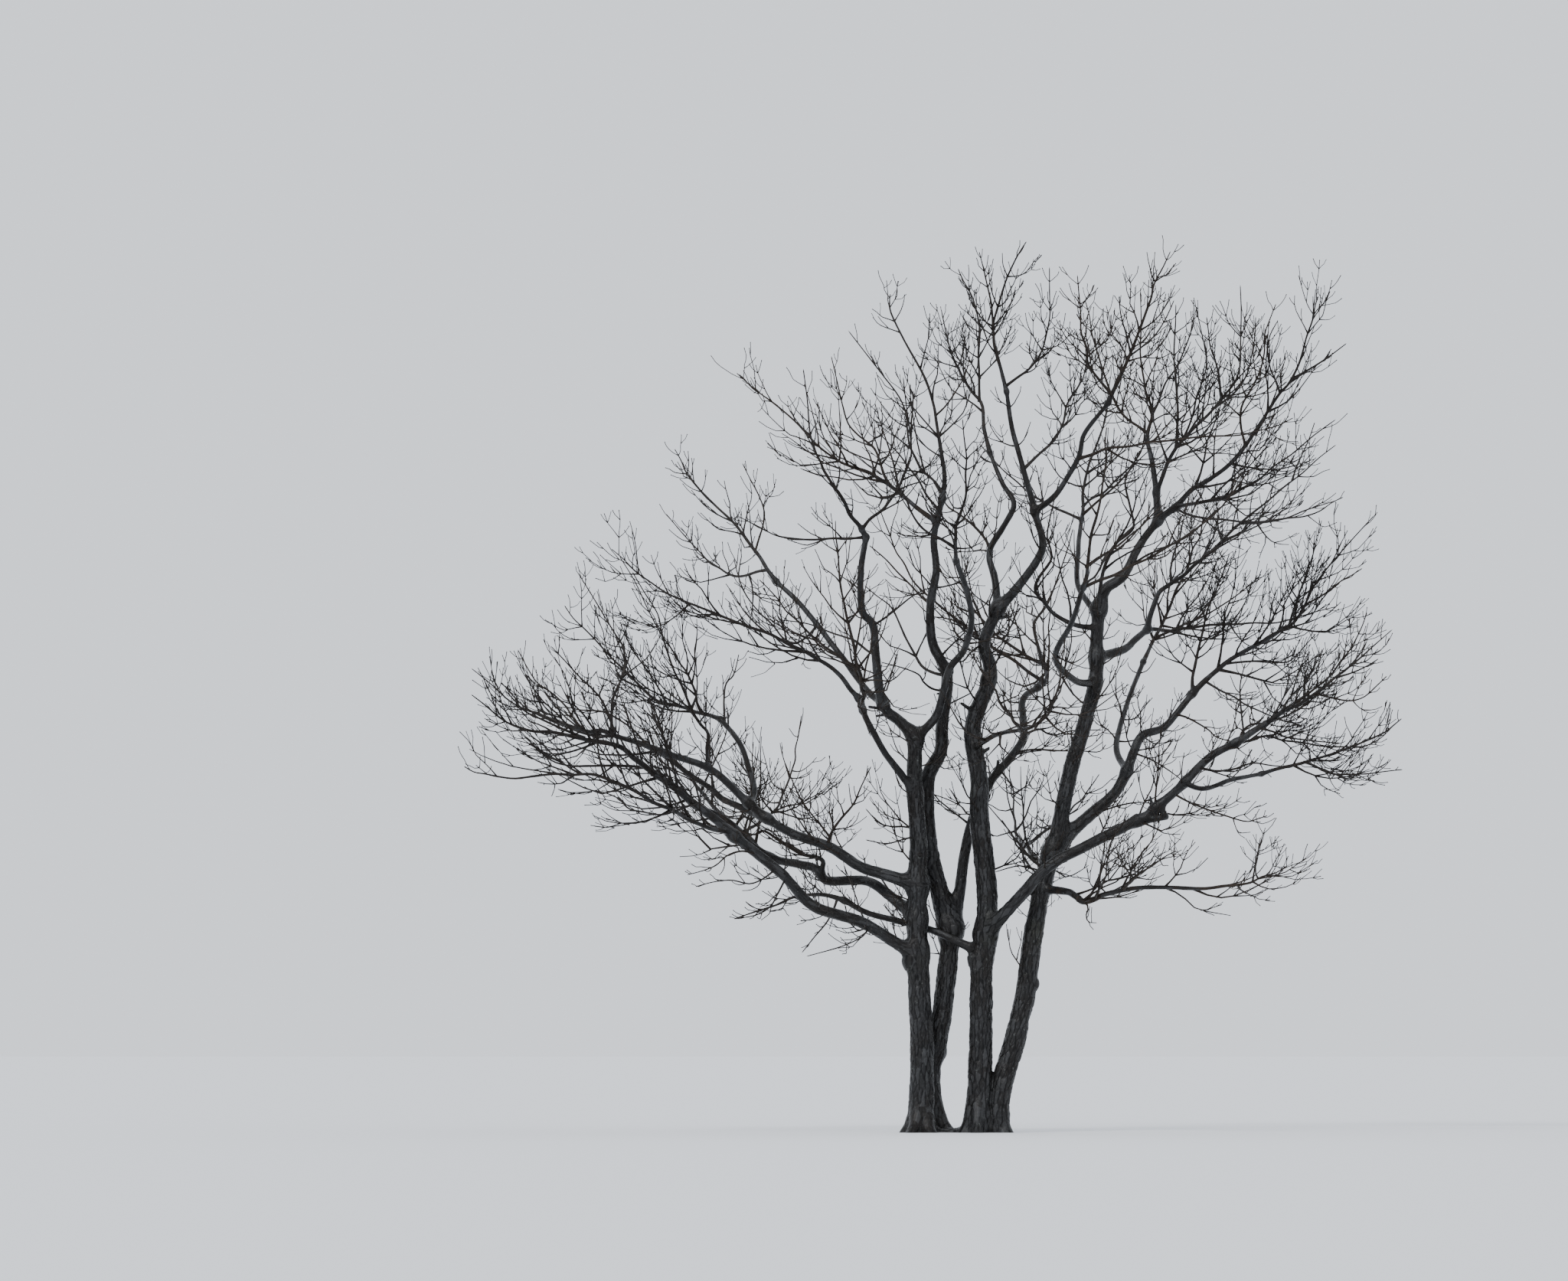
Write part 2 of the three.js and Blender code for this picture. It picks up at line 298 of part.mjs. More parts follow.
// A tapering tube: a cylinder whose rings are set along a curve at the given shares.
// `grow` makes it that much larger on every side.
function tube(limb, sides, shares, { grow = 0, pointed = false } = {}) {
  const steps = shares.length - 1;
  const geometry = new THREE.CylinderGeometry(pointed ? 0 : 1, 1, 1, sides, steps);
  const rings = [];
  const normal = new THREE.Vector3(0.31, 0.17, 0.93);
  const tangentAt = (t) => limb.curve.getTangent(Math.min(Math.max(t, 0), 1));
  normal.cross(tangentAt(0)).normalize();
  for (const [i, t] of shares.entries()) {
    const tangent = tangentAt(t);
    normal.addScaledVector(tangent, -normal.dot(tangent)).normalize();
    const overshoot = i === 0 ? -grow : i === steps ? grow : 0;
    rings.push({
      centre: limb.curve.getPoint(t).addScaledVector(tangent, overshoot),
      u: normal.clone(),
      v: new THREE.Vector3().crossVectors(tangent, normal),
      radius: limb.radius(t) + grow / Math.cos(Math.PI / sides),
    });
  }
  const position = geometry.getAttribute("position");
  for (let i = 0; i < position.count; i++) {
    // The cylinder's own axis is Y: its lowest ring is the limb's foot.
    const ring = rings[Math.round((position.getY(i) + 0.5) * steps)];
    const place = ring.centre.clone()
      .addScaledVector(ring.u, position.getZ(i) * ring.radius)
      .addScaledVector(ring.v, position.getX(i) * ring.radius);
    position.setXYZ(i, place.x, place.y, place.z);
  }
  return solid(geometry);
}

// Everything at or above a height, as a box.
function above(height) {
  const box = new THREE.BoxGeometry(WORLD, WORLD, WORLD);
  box.translate(0, 0, height + WORLD / 2);
  return solid(box);
}

const largest = (whole) => whole.decompose().reduce((a, b) => (b.volume() > a.volume() ? b : a));

function buttress(stem, bearing, reach) {
  const angle = THREE.MathUtils.degToRad(bearing);
  const top = stem.curve.getPoint(BUTTRESS.height / stem.at(stem.last).z);
  const toe = new THREE.Vector3(stem.at(0).x + Math.cos(angle) * reach, stem.at(0).y + Math.sin(angle) * reach, -BUTTRESS.toe);
  const knee = top.clone().lerp(toe, 0.55);
  knee.z *= 0.62;
  return makeLimb({ name: "buttress", thick: BUTTRESS.radius * 0.6, thin: BUTTRESS.radius }, [top, knee, toe]);
}

// The root crown: the feet of the four stems, their buttresses and the low saddle between the two pairs.
function rootCrown(stems) {
  const parts = stems.map((stem) => tube(stem, STEM_SIDES, stemShares(stem)));
  const byName = new Map(stems.map((stem) => [stem.name, stem]));
  for (const [name, bearing, reach] of BUTTRESSES) {
    parts.push(tube(buttress(byName.get(name), bearing, reach), BUTTRESS_SIDES, evenly(2)));
  }
  const saddle = makeLimb({ name: "saddle", thick: SADDLE_RADIUS, thin: SADDLE_RADIUS },
    [new THREE.Vector3(-0.3, 0.06, -0.03), new THREE.Vector3(0.3, 0, -0.03)]);
  parts.push(tube(saddle, BOUGH_SIDES, evenly(1)));
  return wasm.Manifold.union(parts).intersect(above(0)).subtract(above(STEM_CUT));
}

// A repeatable stream of numbers from 0 to 1.
const SEED_RANGE = 2147483647;
function stream(seed) {
  let state = (seed % (SEED_RANGE - 1)) + 1;
  const next = () => {
    state = (state * 48271) % SEED_RANGE;
    return state / SEED_RANGE;
  };
  next();
  return next;
}
const childSeed = (seed, k) => (seed * 16807 + (k + 1) * 7919) % SEED_RANGE;

const within = ([low, high], share) => low + (high - low) * share;

// One side shoot: it leaves its parent at share t, rolled round it, and turns up towards its end.
function shoot(parent, parentLength, t, roll, seed, level) {
  const draw = stream(seed);
  const start = parent.curve.getPoint(t);
  const ahead = parent.curve.getTangent(t);
  const across = new THREE.Vector3(ahead.y, -ahead.x, 0);
  if (across.length() < 1e-3) across.set(1, 0, 0);
  across.normalize();
  const over = new THREE.Vector3().crossVectors(across, ahead);
  const rise = Math.sin(roll) * (Math.sin(roll) < 0 ? UNDERSIDE : 1);
  const side = across.multiplyScalar(Math.cos(roll)).addScaledVector(over, rise).normalize();
  const angle = SHOOT_ANGLE[level] * within(ANGLE_SPREAD, draw());
  const byRule = SHOOT_LENGTH[level] * parentLength * (1 - SHORTER_AHEAD * t);
  const length = Math.min(byRule, SHOOT_LONGEST[level]) * within(LENGTH_SPREAD, draw());
  const heading = ahead.clone().multiplyScalar(Math.cos(angle)).addScaledVector(side, Math.sin(angle));
  const turned = heading.clone().addScaledVector(ahead, FOLLOW);
  turned.z += SHOOT_LIFT[level] * within(LIFT_SPREAD, draw());
  turned.normalize();
  const middle = start.clone().addScaledVector(heading, length / 2);
  const end = middle.clone().addScaledVector(turned, length / 2);
  const thick = Math.min(SHOOT_THINNEST + SHOOT_SLENDER * length, parent.radius(t) * SHOOT_SHARE);
  return { ...makeLimb({ name: "shoot", thick }, [start, middle, end]), length };
}

// The side shoots of one limb, one level down. They stand in opposite pairs, and each pair is turned
// by the golden angle from the one before.
function shootsOf(parent, level, seed) {
  const length = parent.curve.getLength();
  const pairs = Math.floor((length * (1 - SHOOT_FROM[level])) / PAIR_SPACING[level]) + 1;
  const firstRoll = stream(seed)() * 2 * Math.PI;
  const made = [];
  for (let k = 0; k < 2 * pairs; k++) {
    const pair = Math.floor(k / 2);
    const t = SHOOT_FROM[level] + (1 - SHOOT_FROM[level]) * ((pair + 0.5) / pairs);
    const roll = firstRoll + pair * GOLDEN_ANGLE + (k % 2) * Math.PI;
    const one = shoot(parent, length, t, roll, childSeed(seed, k), level);
    if (one.length >= SHOOT_SHORTEST) made.push({ limb: one, seed: childSeed(seed, k) });
  }
  return made;
}

const SAMPLES = [0.35, 0.7, 1];
function distanceTo(line, place) {
  const nearest = new THREE.Vector3();
  let best = Infinity;
  for (const part of line) best = Math.min(best, part.closestPointToPoint(place, true, nearest).distanceTo(place));
  return best;
}
function linesOf(limb) {
  const places = limb.curve.getPoints(limb.last * 2);
  return places.slice(1).map((place, i) => new THREE.Line3(places[i], place));
}

// Whether a shoot keeps to its spray's own space, clear of every limb.
function keepsToSpace(one, own, others, limbs) {
  return SAMPLES.every((t) => {
    const place = one.curve.getPoint(t);
    if (place.z < LOWEST_TWIG) return false;
    const near = Math.min(...own.map((lines) => distanceTo(lines, place)));
    return others.every((lines) => distanceTo(lines, place) > near + OWN_SPACE)
      && limbs.every(({ lines, thick }) => distanceTo(lines, place) > thick + LIMB_GAP);
  });
}

function makeMesh(name, whole, finish) {
  const mesh = whole.getMesh();
  const geometry = new THREE.BufferGeometry();
  const places = new Float32Array(mesh.numVert * 3);
  for (let i = 0; i < mesh.numVert; i++) {
    places.set(mesh.vertProperties.subarray(i * mesh.numProp, i * mesh.numProp + 3), i * 3);
  }
  geometry.setAttribute("position", new THREE.BufferAttribute(places, 3));
  geometry.setIndex(new THREE.BufferAttribute(new Uint32Array(mesh.triVerts), 1));
  geometry.scale(MM_PER_M, MM_PER_M, MM_PER_M);
  geometry.computeVertexNormals();
  const made = new THREE.Mesh(geometry, new THREE.MeshStandardMaterial(finish));
  made.name = name;
  return made;
}

const boxesMeet = (a, b) => [0, 1, 2].every((i) => a.min[i] <= b.max[i] && b.min[i] <= a.max[i]);
// A solid with the room for its earlier neighbours cut away.
function cutBy(whole, neighbours) {
  let left = whole;
  for (const other of neighbours) {
    if (boxesMeet(left.boundingBox(), other.boundingBox())) left = left.subtract(other);
  }
  return largest(left);
}

const tree = new THREE.Group();
tree.name = "bare_winter_tree";
const limbs = new Map();
const room = []; // each finished limb, larger by the clearance

const stems = STEMS.map((row) => makeLimb(row, row.route.map(truePlace)));
tree.add(makeMesh("root_crown", rootCrown(stems), BARK));
for (const stem of stems) {
  const shares = stemShares(stem);
  limbs.set(stem.name, stem);
  tree.add(makeMesh(stem.name, tube(stem, STEM_SIDES, shares).intersect(above(STEM_CUT + CLEARANCE)), BARK));
  room.push(tube(stem, STEM_SIDES, shares, { grow: CLEARANCE }));
}

for (const row of BOUGHS) {
  const bough = branch(row, limbs);
  const shares = evenly(Math.ceil(BOUGH_RINGS * bough.last));
  limbs.set(bough.name, bough);
  tree.add(makeMesh(bough.name, cutBy(tube(bough, BOUGH_SIDES, shares), room), BARK));
  room.push(tube(bough, BOUGH_SIDES, shares, { grow: CLEARANCE }));
}

// Every spray's stems come first, so that each spray knows the others' space.
const sprays = SPRAYS.map((row) => {
  const stem = branch(row, limbs);
  const forks = (row.forks ?? []).map((fork) => makeLimb(fork, [stem.at(fork.at), ...fork.route.map(truePlace)]));
  const all = [stem, ...forks];
  return { name: row.name, all, lines: all.map(linesOf) };
});
const limbLines = [...limbs.values()].map((limb) => ({ lines: linesOf(limb), thick: limb.thick }));

sprays.forEach((spray, index) => {
  const others = sprays.filter((other) => other !== spray).flatMap((other) => other.lines);
  const keeps = (one) => keepsToSpace(one, spray.lines, others, limbLines);
  const parts = [];
  spray.all.forEach((stem, which) => {
    parts.push(tube(stem, SPRAY_STEM_SIDES, evenly(stem.last), { pointed: true }));
    for (const first of shootsOf(stem, 0, childSeed(index * 101 + which * 13 + 7, 0))) {
      if (!keeps(first.limb)) continue;
      parts.push(tube(first.limb, TWIG_SIDES, evenly(1), { pointed: true }));
      for (const second of shootsOf(first.limb, 1, first.seed)) {
        if (keeps(second.limb)) parts.push(tube(second.limb, TWIG_SIDES, evenly(1), { pointed: true }));
      }
    }
  });
  const whole = cutBy(wasm.Manifold.union(parts), room);
  tree.add(makeMesh(spray.name, whole, TWIG_BARK));
});

export default tree;
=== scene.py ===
import json
import math

import bmesh
import bpy
import numpy as np
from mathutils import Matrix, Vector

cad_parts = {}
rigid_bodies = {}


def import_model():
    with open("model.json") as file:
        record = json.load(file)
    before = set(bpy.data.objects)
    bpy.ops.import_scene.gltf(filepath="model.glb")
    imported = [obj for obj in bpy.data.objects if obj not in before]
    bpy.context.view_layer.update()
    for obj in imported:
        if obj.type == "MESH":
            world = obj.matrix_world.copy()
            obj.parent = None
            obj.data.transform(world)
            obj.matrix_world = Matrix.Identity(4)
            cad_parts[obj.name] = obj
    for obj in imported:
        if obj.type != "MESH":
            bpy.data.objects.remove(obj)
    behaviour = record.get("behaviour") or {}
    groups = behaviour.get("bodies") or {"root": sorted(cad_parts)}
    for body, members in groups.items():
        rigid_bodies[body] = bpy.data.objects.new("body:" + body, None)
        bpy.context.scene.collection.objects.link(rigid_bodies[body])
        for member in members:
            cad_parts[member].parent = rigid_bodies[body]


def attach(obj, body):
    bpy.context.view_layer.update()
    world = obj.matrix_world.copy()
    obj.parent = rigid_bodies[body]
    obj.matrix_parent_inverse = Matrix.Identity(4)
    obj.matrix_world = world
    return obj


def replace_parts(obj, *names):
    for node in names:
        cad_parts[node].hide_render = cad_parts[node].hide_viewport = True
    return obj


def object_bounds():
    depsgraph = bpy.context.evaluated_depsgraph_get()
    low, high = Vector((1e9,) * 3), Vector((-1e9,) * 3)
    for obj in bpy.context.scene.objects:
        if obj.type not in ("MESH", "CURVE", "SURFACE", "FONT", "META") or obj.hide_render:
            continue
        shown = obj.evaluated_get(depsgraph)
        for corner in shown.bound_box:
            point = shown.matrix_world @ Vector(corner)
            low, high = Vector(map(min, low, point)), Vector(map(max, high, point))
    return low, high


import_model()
cad_low, cad_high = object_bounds()

# Camera: the photograph's viewing angle
PHOTO_WIDTH = 2048
PHOTO_HEIGHT = 1673
METRES_PER_PIXEL = 0.009  # of the photograph, at the stems
FOOT_PIXEL = (1247, 1479)  # where the photograph shows the middle of the foot
VIEW_DISTANCE = 75.0
EYE_HEIGHT = 1.0
SENSOR = 36.0
CLIP_END = 2000.0

# Sizes that the part's source holds too
FLARE_HEIGHT = 0.22
SADDLE_RADIUS = 0.085
LOWEST_TWIG = 2.0
BUTTRESS_RADIUS = 0.075
BUTTRESS_TOE = 0.05
BUTTRESS_HEIGHT = 0.42
SPRAY_TIP = 0.008  # radius at the end of a spray's stem in the source
SPRAY_TIP_DRAWN = 0.0058  # and here, where finer twigs carry the outline

# The tree's limbs, as in the part's source. Each row ends with the limb's route as it looks from the front. A
# place on a parent limb is counted in the points of that limb's route.
# Stems: name, radius at the foot and at the end, flare at the ground, route
STEMS = [
    ("stem_left", 0.147, 0.08, 0.03, (-0.4, 0, -0.12), (-0.39, 0, 1), (-0.43, 0, 2), (-0.44, 0, 2.6),
     (-0.43, -0.03, 3.4), (-0.47, -0.06, 4.15), (-0.46, -0.1, 4.65)),
    ("stem_rear", 0.127, 0.11, 0.03, (-0.27, 0.17, -0.12), (-0.3, 0.2, 0.7), (-0.2, 0.23, 1.1),
     (-0.14, 0.25, 1.5), (-0.07, 0.26, 2.05), (-0.05, 0.27, 2.4)),
    ("stem_centre", 0.145, 0.065, 0.035, (0.27, 0, -0.12), (0.3, 0, 1), (0.31, 0, 1.8), (0.38, 0, 2.7),
     (0.29, 0, 3.75), (0.29, 0, 4.15), (0.21, 0.03, 4.75), (0.4, 0.05, 5.25), (0.41, 0.05, 5.5),
     (0.35, 0.05, 5.75), (0.51, 0.05, 6.15)),
    ("stem_right", 0.137, 0.07, 0.02, (0.46, 0.02, -0.12), (0.53, 0.03, 0.5), (0.68, 0.05, 1),
     (0.81, 0.07, 1.55), (0.95, 0.1, 2.5), (1.07, 0.12, 3.05), (1.2, 0.14, 3.45), (1.34, 0.16, 4.15),
     (1.64, 0.2, 5.2), (1.67, 0.2, 5.7), (1.7, 0.2, 6.15)),
]
# Boughs: name, parent, place on it, radius at the foot and at the end, route
BOUGHS = [
    ("bough_left_low", "stem_left", 2.15, 0.072, 0.056, (-0.66, -0.08, 2.2), (-1.1, -0.22, 2.46),
     (-1.65, -0.42, 2.65), (-2.05, -0.55, 3.05), (-2.6, -0.72, 3.48)),
    ("bough_left_mid", "stem_left", 2.85, 0.064, 0.046, (-0.8, 0.2, 2.8), (-1.05, 0.3, 2.95),
     (-1.5, 0.48, 2.95), (-1.65, 0.55, 3.1), (-2.15, 0.75, 3.2)),
    ("bough_left_high", "stem_left", 3.4, 0.074, 0.038, (-0.75, -0.02, 3), (-1.1, -0.03, 3.12),
     (-1.5, -0.05, 3.36), (-1.95, -0.05, 3.52), (-2.38, -0.05, 3.82), (-2.85, -0.1, 4.25),
     (-3.4, -0.2, 4.45)),
    ("bough_left_rise", "bough_left_high", 5.1, 0.043, 0.029, (-2.36, 0.15, 4.05), (-2.52, 0.5, 4.55),
     (-2.75, 0.8, 4.85)),
    ("bough_left_front", "stem_left", 4.75, 0.046, 0.034, (-0.63, -0.22, 4.2), (-0.82, -0.5, 4.46),
     (-1.02, -0.85, 4.81), (-1.13, -1.15, 5.1)),
    ("bough_left_up", "stem_left", 6, 0.067, 0.032, (-0.64, -0.14, 4.82), (-0.84, -0.22, 5.03),
     (-0.93, -0.4, 5.6), (-0.96, -0.5, 5.95), (-1.09, -0.6, 6.14), (-1.1, -0.8, 6.6), (-1.04, -0.95, 7)),
    ("bough_left_back", "bough_left_up", 2, 0.043, 0.027, (-1.02, 0, 5.18), (-1.34, 0.35, 5.6),
     (-1.79, 0.7, 6.18), (-2.1, 0.9, 6.48)),
    ("bough_inner_up", "stem_rear", 5, 0.108, 0.034, (-0.17, 0.27, 2.78), (-0.29, 0.26, 3.3),
     (-0.33, 0.25, 3.85), (-0.31, 0.21, 4.2), (-0.16, 0.12, 4.47), (-0.15, 0.06, 4.8),
     (-0.08, -0.02, 5.25), (-0.11, -0.08, 5.45), (-0.26, -0.18, 5.75), (-0.28, -0.3, 6.2),
     (-0.21, -0.4, 6.6), (-0.24, -0.5, 7), (-0.14, -0.58, 7.45)),
    ("bough_inner_front", "stem_left", 6, 0.052, 0.03, (-0.32, -0.17, 4.76), (-0.2, -0.24, 4.92),
     (-0.13, -0.34, 5.2), (-0.05, -0.46, 5.45), (0.12, -0.65, 5.68), (0.2, -0.98, 6), (0.15, -1.35, 6.35),
     (0.02, -1.7, 6.72)),
    ("bough_rear_right", "stem_rear", 4.8, 0.072, 0.036, (0.04, 0.31, 2.7), (0.13, 0.35, 3.35),
     (0.28, 0.37, 3.86), (0.5, 0.45, 4.22), (0.8, 0.7, 4.6), (0.8, 1.1, 5.06), (0.98, 1.4, 5.22)),
    ("bough_centre_low", "stem_centre", 2.35, 0.042, 0.031, (0.06, 0.05, 2.22), (-0.1, 0.08, 2.3),
     (-0.27, 0.14, 2.37), (-0.55, 0.18, 2.45), (-1, 0.2, 2.56), (-1.3, 0.2, 2.72)),
    ("bough_centre_left", "stem_centre", 10, 0.047, 0.024, (0.48, 0.2, 6.5), (0.42, 0.35, 6.85),
     (0.7, 0.6, 7.34), (0.56, 0.75, 7.65), (0.42, 0.9, 8)),
    ("bough_centre_right", "stem_centre", 10, 0.058, 0.024, (0.7, 0, 6.35), (0.96, 0, 6.7),
     (1.04, 0, 6.93), (0.95, 0.02, 7.3), (0.82, 0.05, 7.8), (0.68, 0.1, 8.3), (0.62, 0.12, 8.72)),
    ("bough_centre_top", "bough_centre_right", 4, 0.036, 0.025, (1.2, -0.15, 7.5), (1.46, -0.3, 7.92),
     (1.54, -0.4, 8.22), (1.82, -0.5, 8.58)),
    ("bough_right_low", "stem_centre", 2.6, 0.077, 0.042, (0.56, -0.18, 2.54), (0.83, -0.28, 2.83),
     (1.15, -0.34, 3.15), (2, -0.44, 3.58), (2.28, -0.48, 3.73), (2.66, -0.55, 4.06), (3, -0.62, 4.4),
     (3.3, -0.68, 4.56)),
    ("bough_right_under", "bough_right_low", 6.1, 0.031, 0.023, (2.92, -0.85, 4.03), (3.25, -1.15, 4.13),
     (3.6, -1.4, 4.2)),
    ("bough_right_mid", "stem_right", 5.6, 0.078, 0.036, (1.45, 0.25, 3.6), (1.9, 0.38, 4),
     (2.1, 0.46, 4.45), (2.22, 0.5, 4.66), (2.48, 0.58, 4.77), (2.8, 0.68, 5.15)),
    ("bough_right_rise", "bough_right_mid", 2.5, 0.041, 0.027, (1.9, 0.85, 4.52), (2.02, 1.4, 5),
     (2.22, 2, 5.52)),
    ("bough_right_inner", "stem_right", 8.7, 0.05, 0.037, (1.98, 0.45, 5.66), (2.12, 0.6, 5.78),
     (2.27, 0.8, 5.9)),
    ("bough_right_front", "stem_right", 8.1, 0.045, 0.028, (1.42, -0.3, 5.3), (1.19, -0.9, 5.58),
     (1.38, -1.6, 5.98), (1.52, -2.1, 6.4)),
    ("bough_right_back", "stem_right", 9.8, 0.037, 0.026, (1.46, 0.7, 6.42), (1.46, 1.1, 6.85),
     (1.5, 1.5, 7.2)),
    ("bough_right_top", "stem_right", 10, 0.068, 0.036, (1.78, 0.2, 6.38), (1.98, 0.22, 6.52),
     (2.14, 0.25, 6.82), (2.4, 0.25, 7.18), (2.62, 0.2, 7.35)),
    ("bough_right_peak", "bough_right_top", 4, 0.042, 0.026, (2.38, 0.4, 7.55), (2.34, 0.5, 7.85),
     (2.27, 0.62, 8.15)),
]
# Sprays' own stems: name, parent, place on it, radius at the foot, route
SPRAYS = [
    ("spray_left_low", "bough_left_low", 5, 0.051, (-3.1, -0.9, 3.9), (-3.6, -1.1, 4.27),
     (-4, -1.25, 4.55), (-4.6, -1.45, 4.67), (-5.2, -1.6, 4.78), (-5.7, -1.7, 5.15)),
    ("spray_left_mid", "bough_left_mid", 5, 0.041, (-2.5, 1.2, 3.5), (-2.95, 1.9, 3.95), (-3.35, 2.6, 4.5),
     (-3.6, 3.1, 5.1)),
    ("spray_left_high", "bough_left_high", 7, 0.033, (-4.05, -0.3, 4.68), (-4.4, -0.35, 4.73),
     (-4.8, -0.45, 4.87), (-5.15, -0.5, 5.02), (-5.7, -0.6, 5.46)),
    ("spray_left_rise", "bough_left_rise", 3, 0.026, (-3.12, 1.05, 4.96), (-3.5, 1.3, 5.08),
     (-3.82, 1.5, 5.36), (-4.3, 1.8, 5.85), (-4.6, 2, 6.2)),
    ("spray_left_inner", "bough_left_high", 3, 0.02, (-1.4, -0.25, 3.62), (-1.15, -0.4, 3.92),
     (-0.98, -0.5, 4.3)),
    ("spray_left_hang", "bough_centre_low", 6, 0.028, (-1.7, 0.15, 2.79), (-2.1, 0.08, 2.66),
     (-2.6, 0, 2.5)),
    ("spray_left_long", "bough_left_front", 4, 0.029, (-1.5, -1.4, 5.5), (-2.04, -1.65, 5.8),
     (-2.85, -1.85, 6.1), (-3.55, -2, 6.45), (-4.05, -2.1, 6.87)),
    ("spray_left_front", "bough_left_front", 3.5, 0.031, (-1.08, -1.6, 5.2), (-1.2, -2.3, 5.75),
     (-1.35, -3, 6.5), (-1.4, -3.5, 7.2)),
    ("spray_left_back", "bough_left_back", 4, 0.026, (-2.35, 1.05, 6.82), (-2.62, 1.2, 7.18),
     (-3.1, 1.4, 7.68), (-3.3, 1.5, 8.05)),
    ("spray_left_top", "bough_left_up", 7, 0.028, (-1.25, -1.15, 7.35), (-1.52, -1.4, 7.78),
     (-1.67, -1.5, 8.1), (-1.78, -1.7, 9)),
    ("spray_inner_reach", "bough_inner_up", 12.4, 0.027, (-0.75, -0.4, 7.6), (-1.1, -0.3, 7.8),
     (-1.47, -0.15, 7.98), (-2.15, 0.15, 8.6), (-2.57, 0.3, 8.95)),
    ("spray_inner_top", "bough_inner_up", 13, 0.03, (-0.12, -0.65, 7.8), (-0.2, -0.7, 8.25),
     (-0.3, -0.8, 8.75), (-0.72, -0.9, 9.6), (-0.75, -0.95, 9.88)),
    ("spray_front", "bough_inner_front", 8, 0.026, (0.02, -2.2, 7.05), (0.15, -2.8, 7.65),
     (0.1, -3.3, 8.4)),
    ("spray_rear_right", "bough_rear_right", 7, 0.031, (1.08, 1.8, 5.4), (0.94, 2.4, 5.93),
     (1.15, 2.9, 6.3), (1.4, 3.5, 7.1)),
    ("spray_centre_left", "bough_centre_left", 5, 0.024, (0.3, 1.1, 8.6), (0.08, 1.25, 8.93),
     (-0.05, 1.4, 9.25), (-0.15, 1.5, 9.7)),
    ("spray_summit", "bough_centre_right", 7, 0.023, (0.49, 0.15, 9.3), (0.48, 0.2, 9.6),
     (0.7, 0.2, 10.22), (0.86, 0.2, 10.5)),
    ("spray_centre_top", "bough_centre_top", 4, 0.026, (1.97, -0.6, 8.93), (2.25, -0.7, 9.6),
     (2.36, -0.75, 9.95), (2.56, -0.8, 10.38)),
    ("spray_right_low", "bough_right_low", 8, 0.038, (3.8, -0.75, 4.9), (4.1, -0.8, 5.05),
     (4.6, -0.85, 5.42), (5.15, -0.9, 5.9)),
    ("spray_right_under", "bough_right_under", 3, 0.022, (4.1, -1.7, 4.34), (4.4, -1.9, 4.43),
     (5, -2.2, 4.65), (5.25, -2.35, 4.85)),
    ("spray_right_foot", "stem_right", 4.6, 0.036, (1.32, -0.2, 2.81), (1.58, -0.45, 2.72),
     (1.98, -0.8, 2.84), (3, -1.6, 2.88), (3.5, -1.9, 2.94), (3.9, -2.2, 3.12)),
    ("spray_right_knob", "stem_right", 5.05, 0.02, (0.86, -0.08, 3.24), (0.7, -0.14, 3.45),
     (0.55, -0.2, 3.67)),
    ("spray_right_mid", "bough_right_mid", 6, 0.033, (3.2, 0.8, 5.5), (3.8, 0.9, 5.87), (4.05, 0.9, 6.05),
     (4.28, 0.85, 6.48), (4.95, 0.8, 7.25)),
    ("spray_right_rear", "bough_right_rise", 3, 0.025, (2.5, 2.7, 6.1), (2.8, 3.3, 6.8), (3, 3.7, 7.4)),
    ("spray_right_inner", "bough_right_inner", 3, 0.034, (2.44, 1, 6.36), (2.75, 1.15, 6.58),
     (3.2, 1.4, 7), (3.85, 1.7, 7.55), (4.5, 2, 8.08)),
    ("spray_right_heart", "stem_right", 9.5, 0.031, (1.37, 0, 5.97), (1.1, -0.18, 6.18),
     (0.95, -0.3, 6.42), (1.15, -0.45, 6.76), (1.1, -0.6, 7.05), (1.25, -0.8, 7.7)),
    ("spray_right_front", "bough_right_front", 4, 0.024, (1.6, -2.6, 6.9), (1.75, -3.1, 7.6),
     (1.8, -3.4, 8.3)),
    ("spray_right_back", "bough_right_back", 3, 0.022, (1.55, 2, 7.7), (1.75, 2.5, 8.25),
     (1.85, 2.9, 8.9)),
    ("spray_right_top", "bough_right_top", 5, 0.033, (2.85, 0.12, 7.58), (3.35, 0, 7.95), (3.72, 0, 8.55),
     (4, 0, 8.9), (4.2, 0, 9.5), (4.3, 0, 9.84)),
    ("spray_right_peak", "bough_right_peak", 3, 0.023, (2.33, 0.7, 8.5), (2.22, 0.8, 8.95),
     (2.2, 0.9, 9.9)),
    ("spray_right_crest", "bough_right_peak", 0.9, 0.026, (2.62, 0.2, 8.05), (3.04, 0, 8.5),
     (3.35, -0.25, 8.95), (3.38, -0.35, 9.98)),
    ("spray_back_low", "stem_right", 5.1, 0.036, (0.92, 0.8, 3.25), (0.75, 1.8, 3.45), (0.7, 2.8, 3.75),
     (0.65, 3.8, 4.3)),
    ("spray_front_mid", "stem_centre", 5.6, 0.034, (0.5, -0.7, 4.66), (0.95, -1.7, 4.78), (1.2, -2.7, 5.1),
     (1.3, -3.7, 5.8)),
]
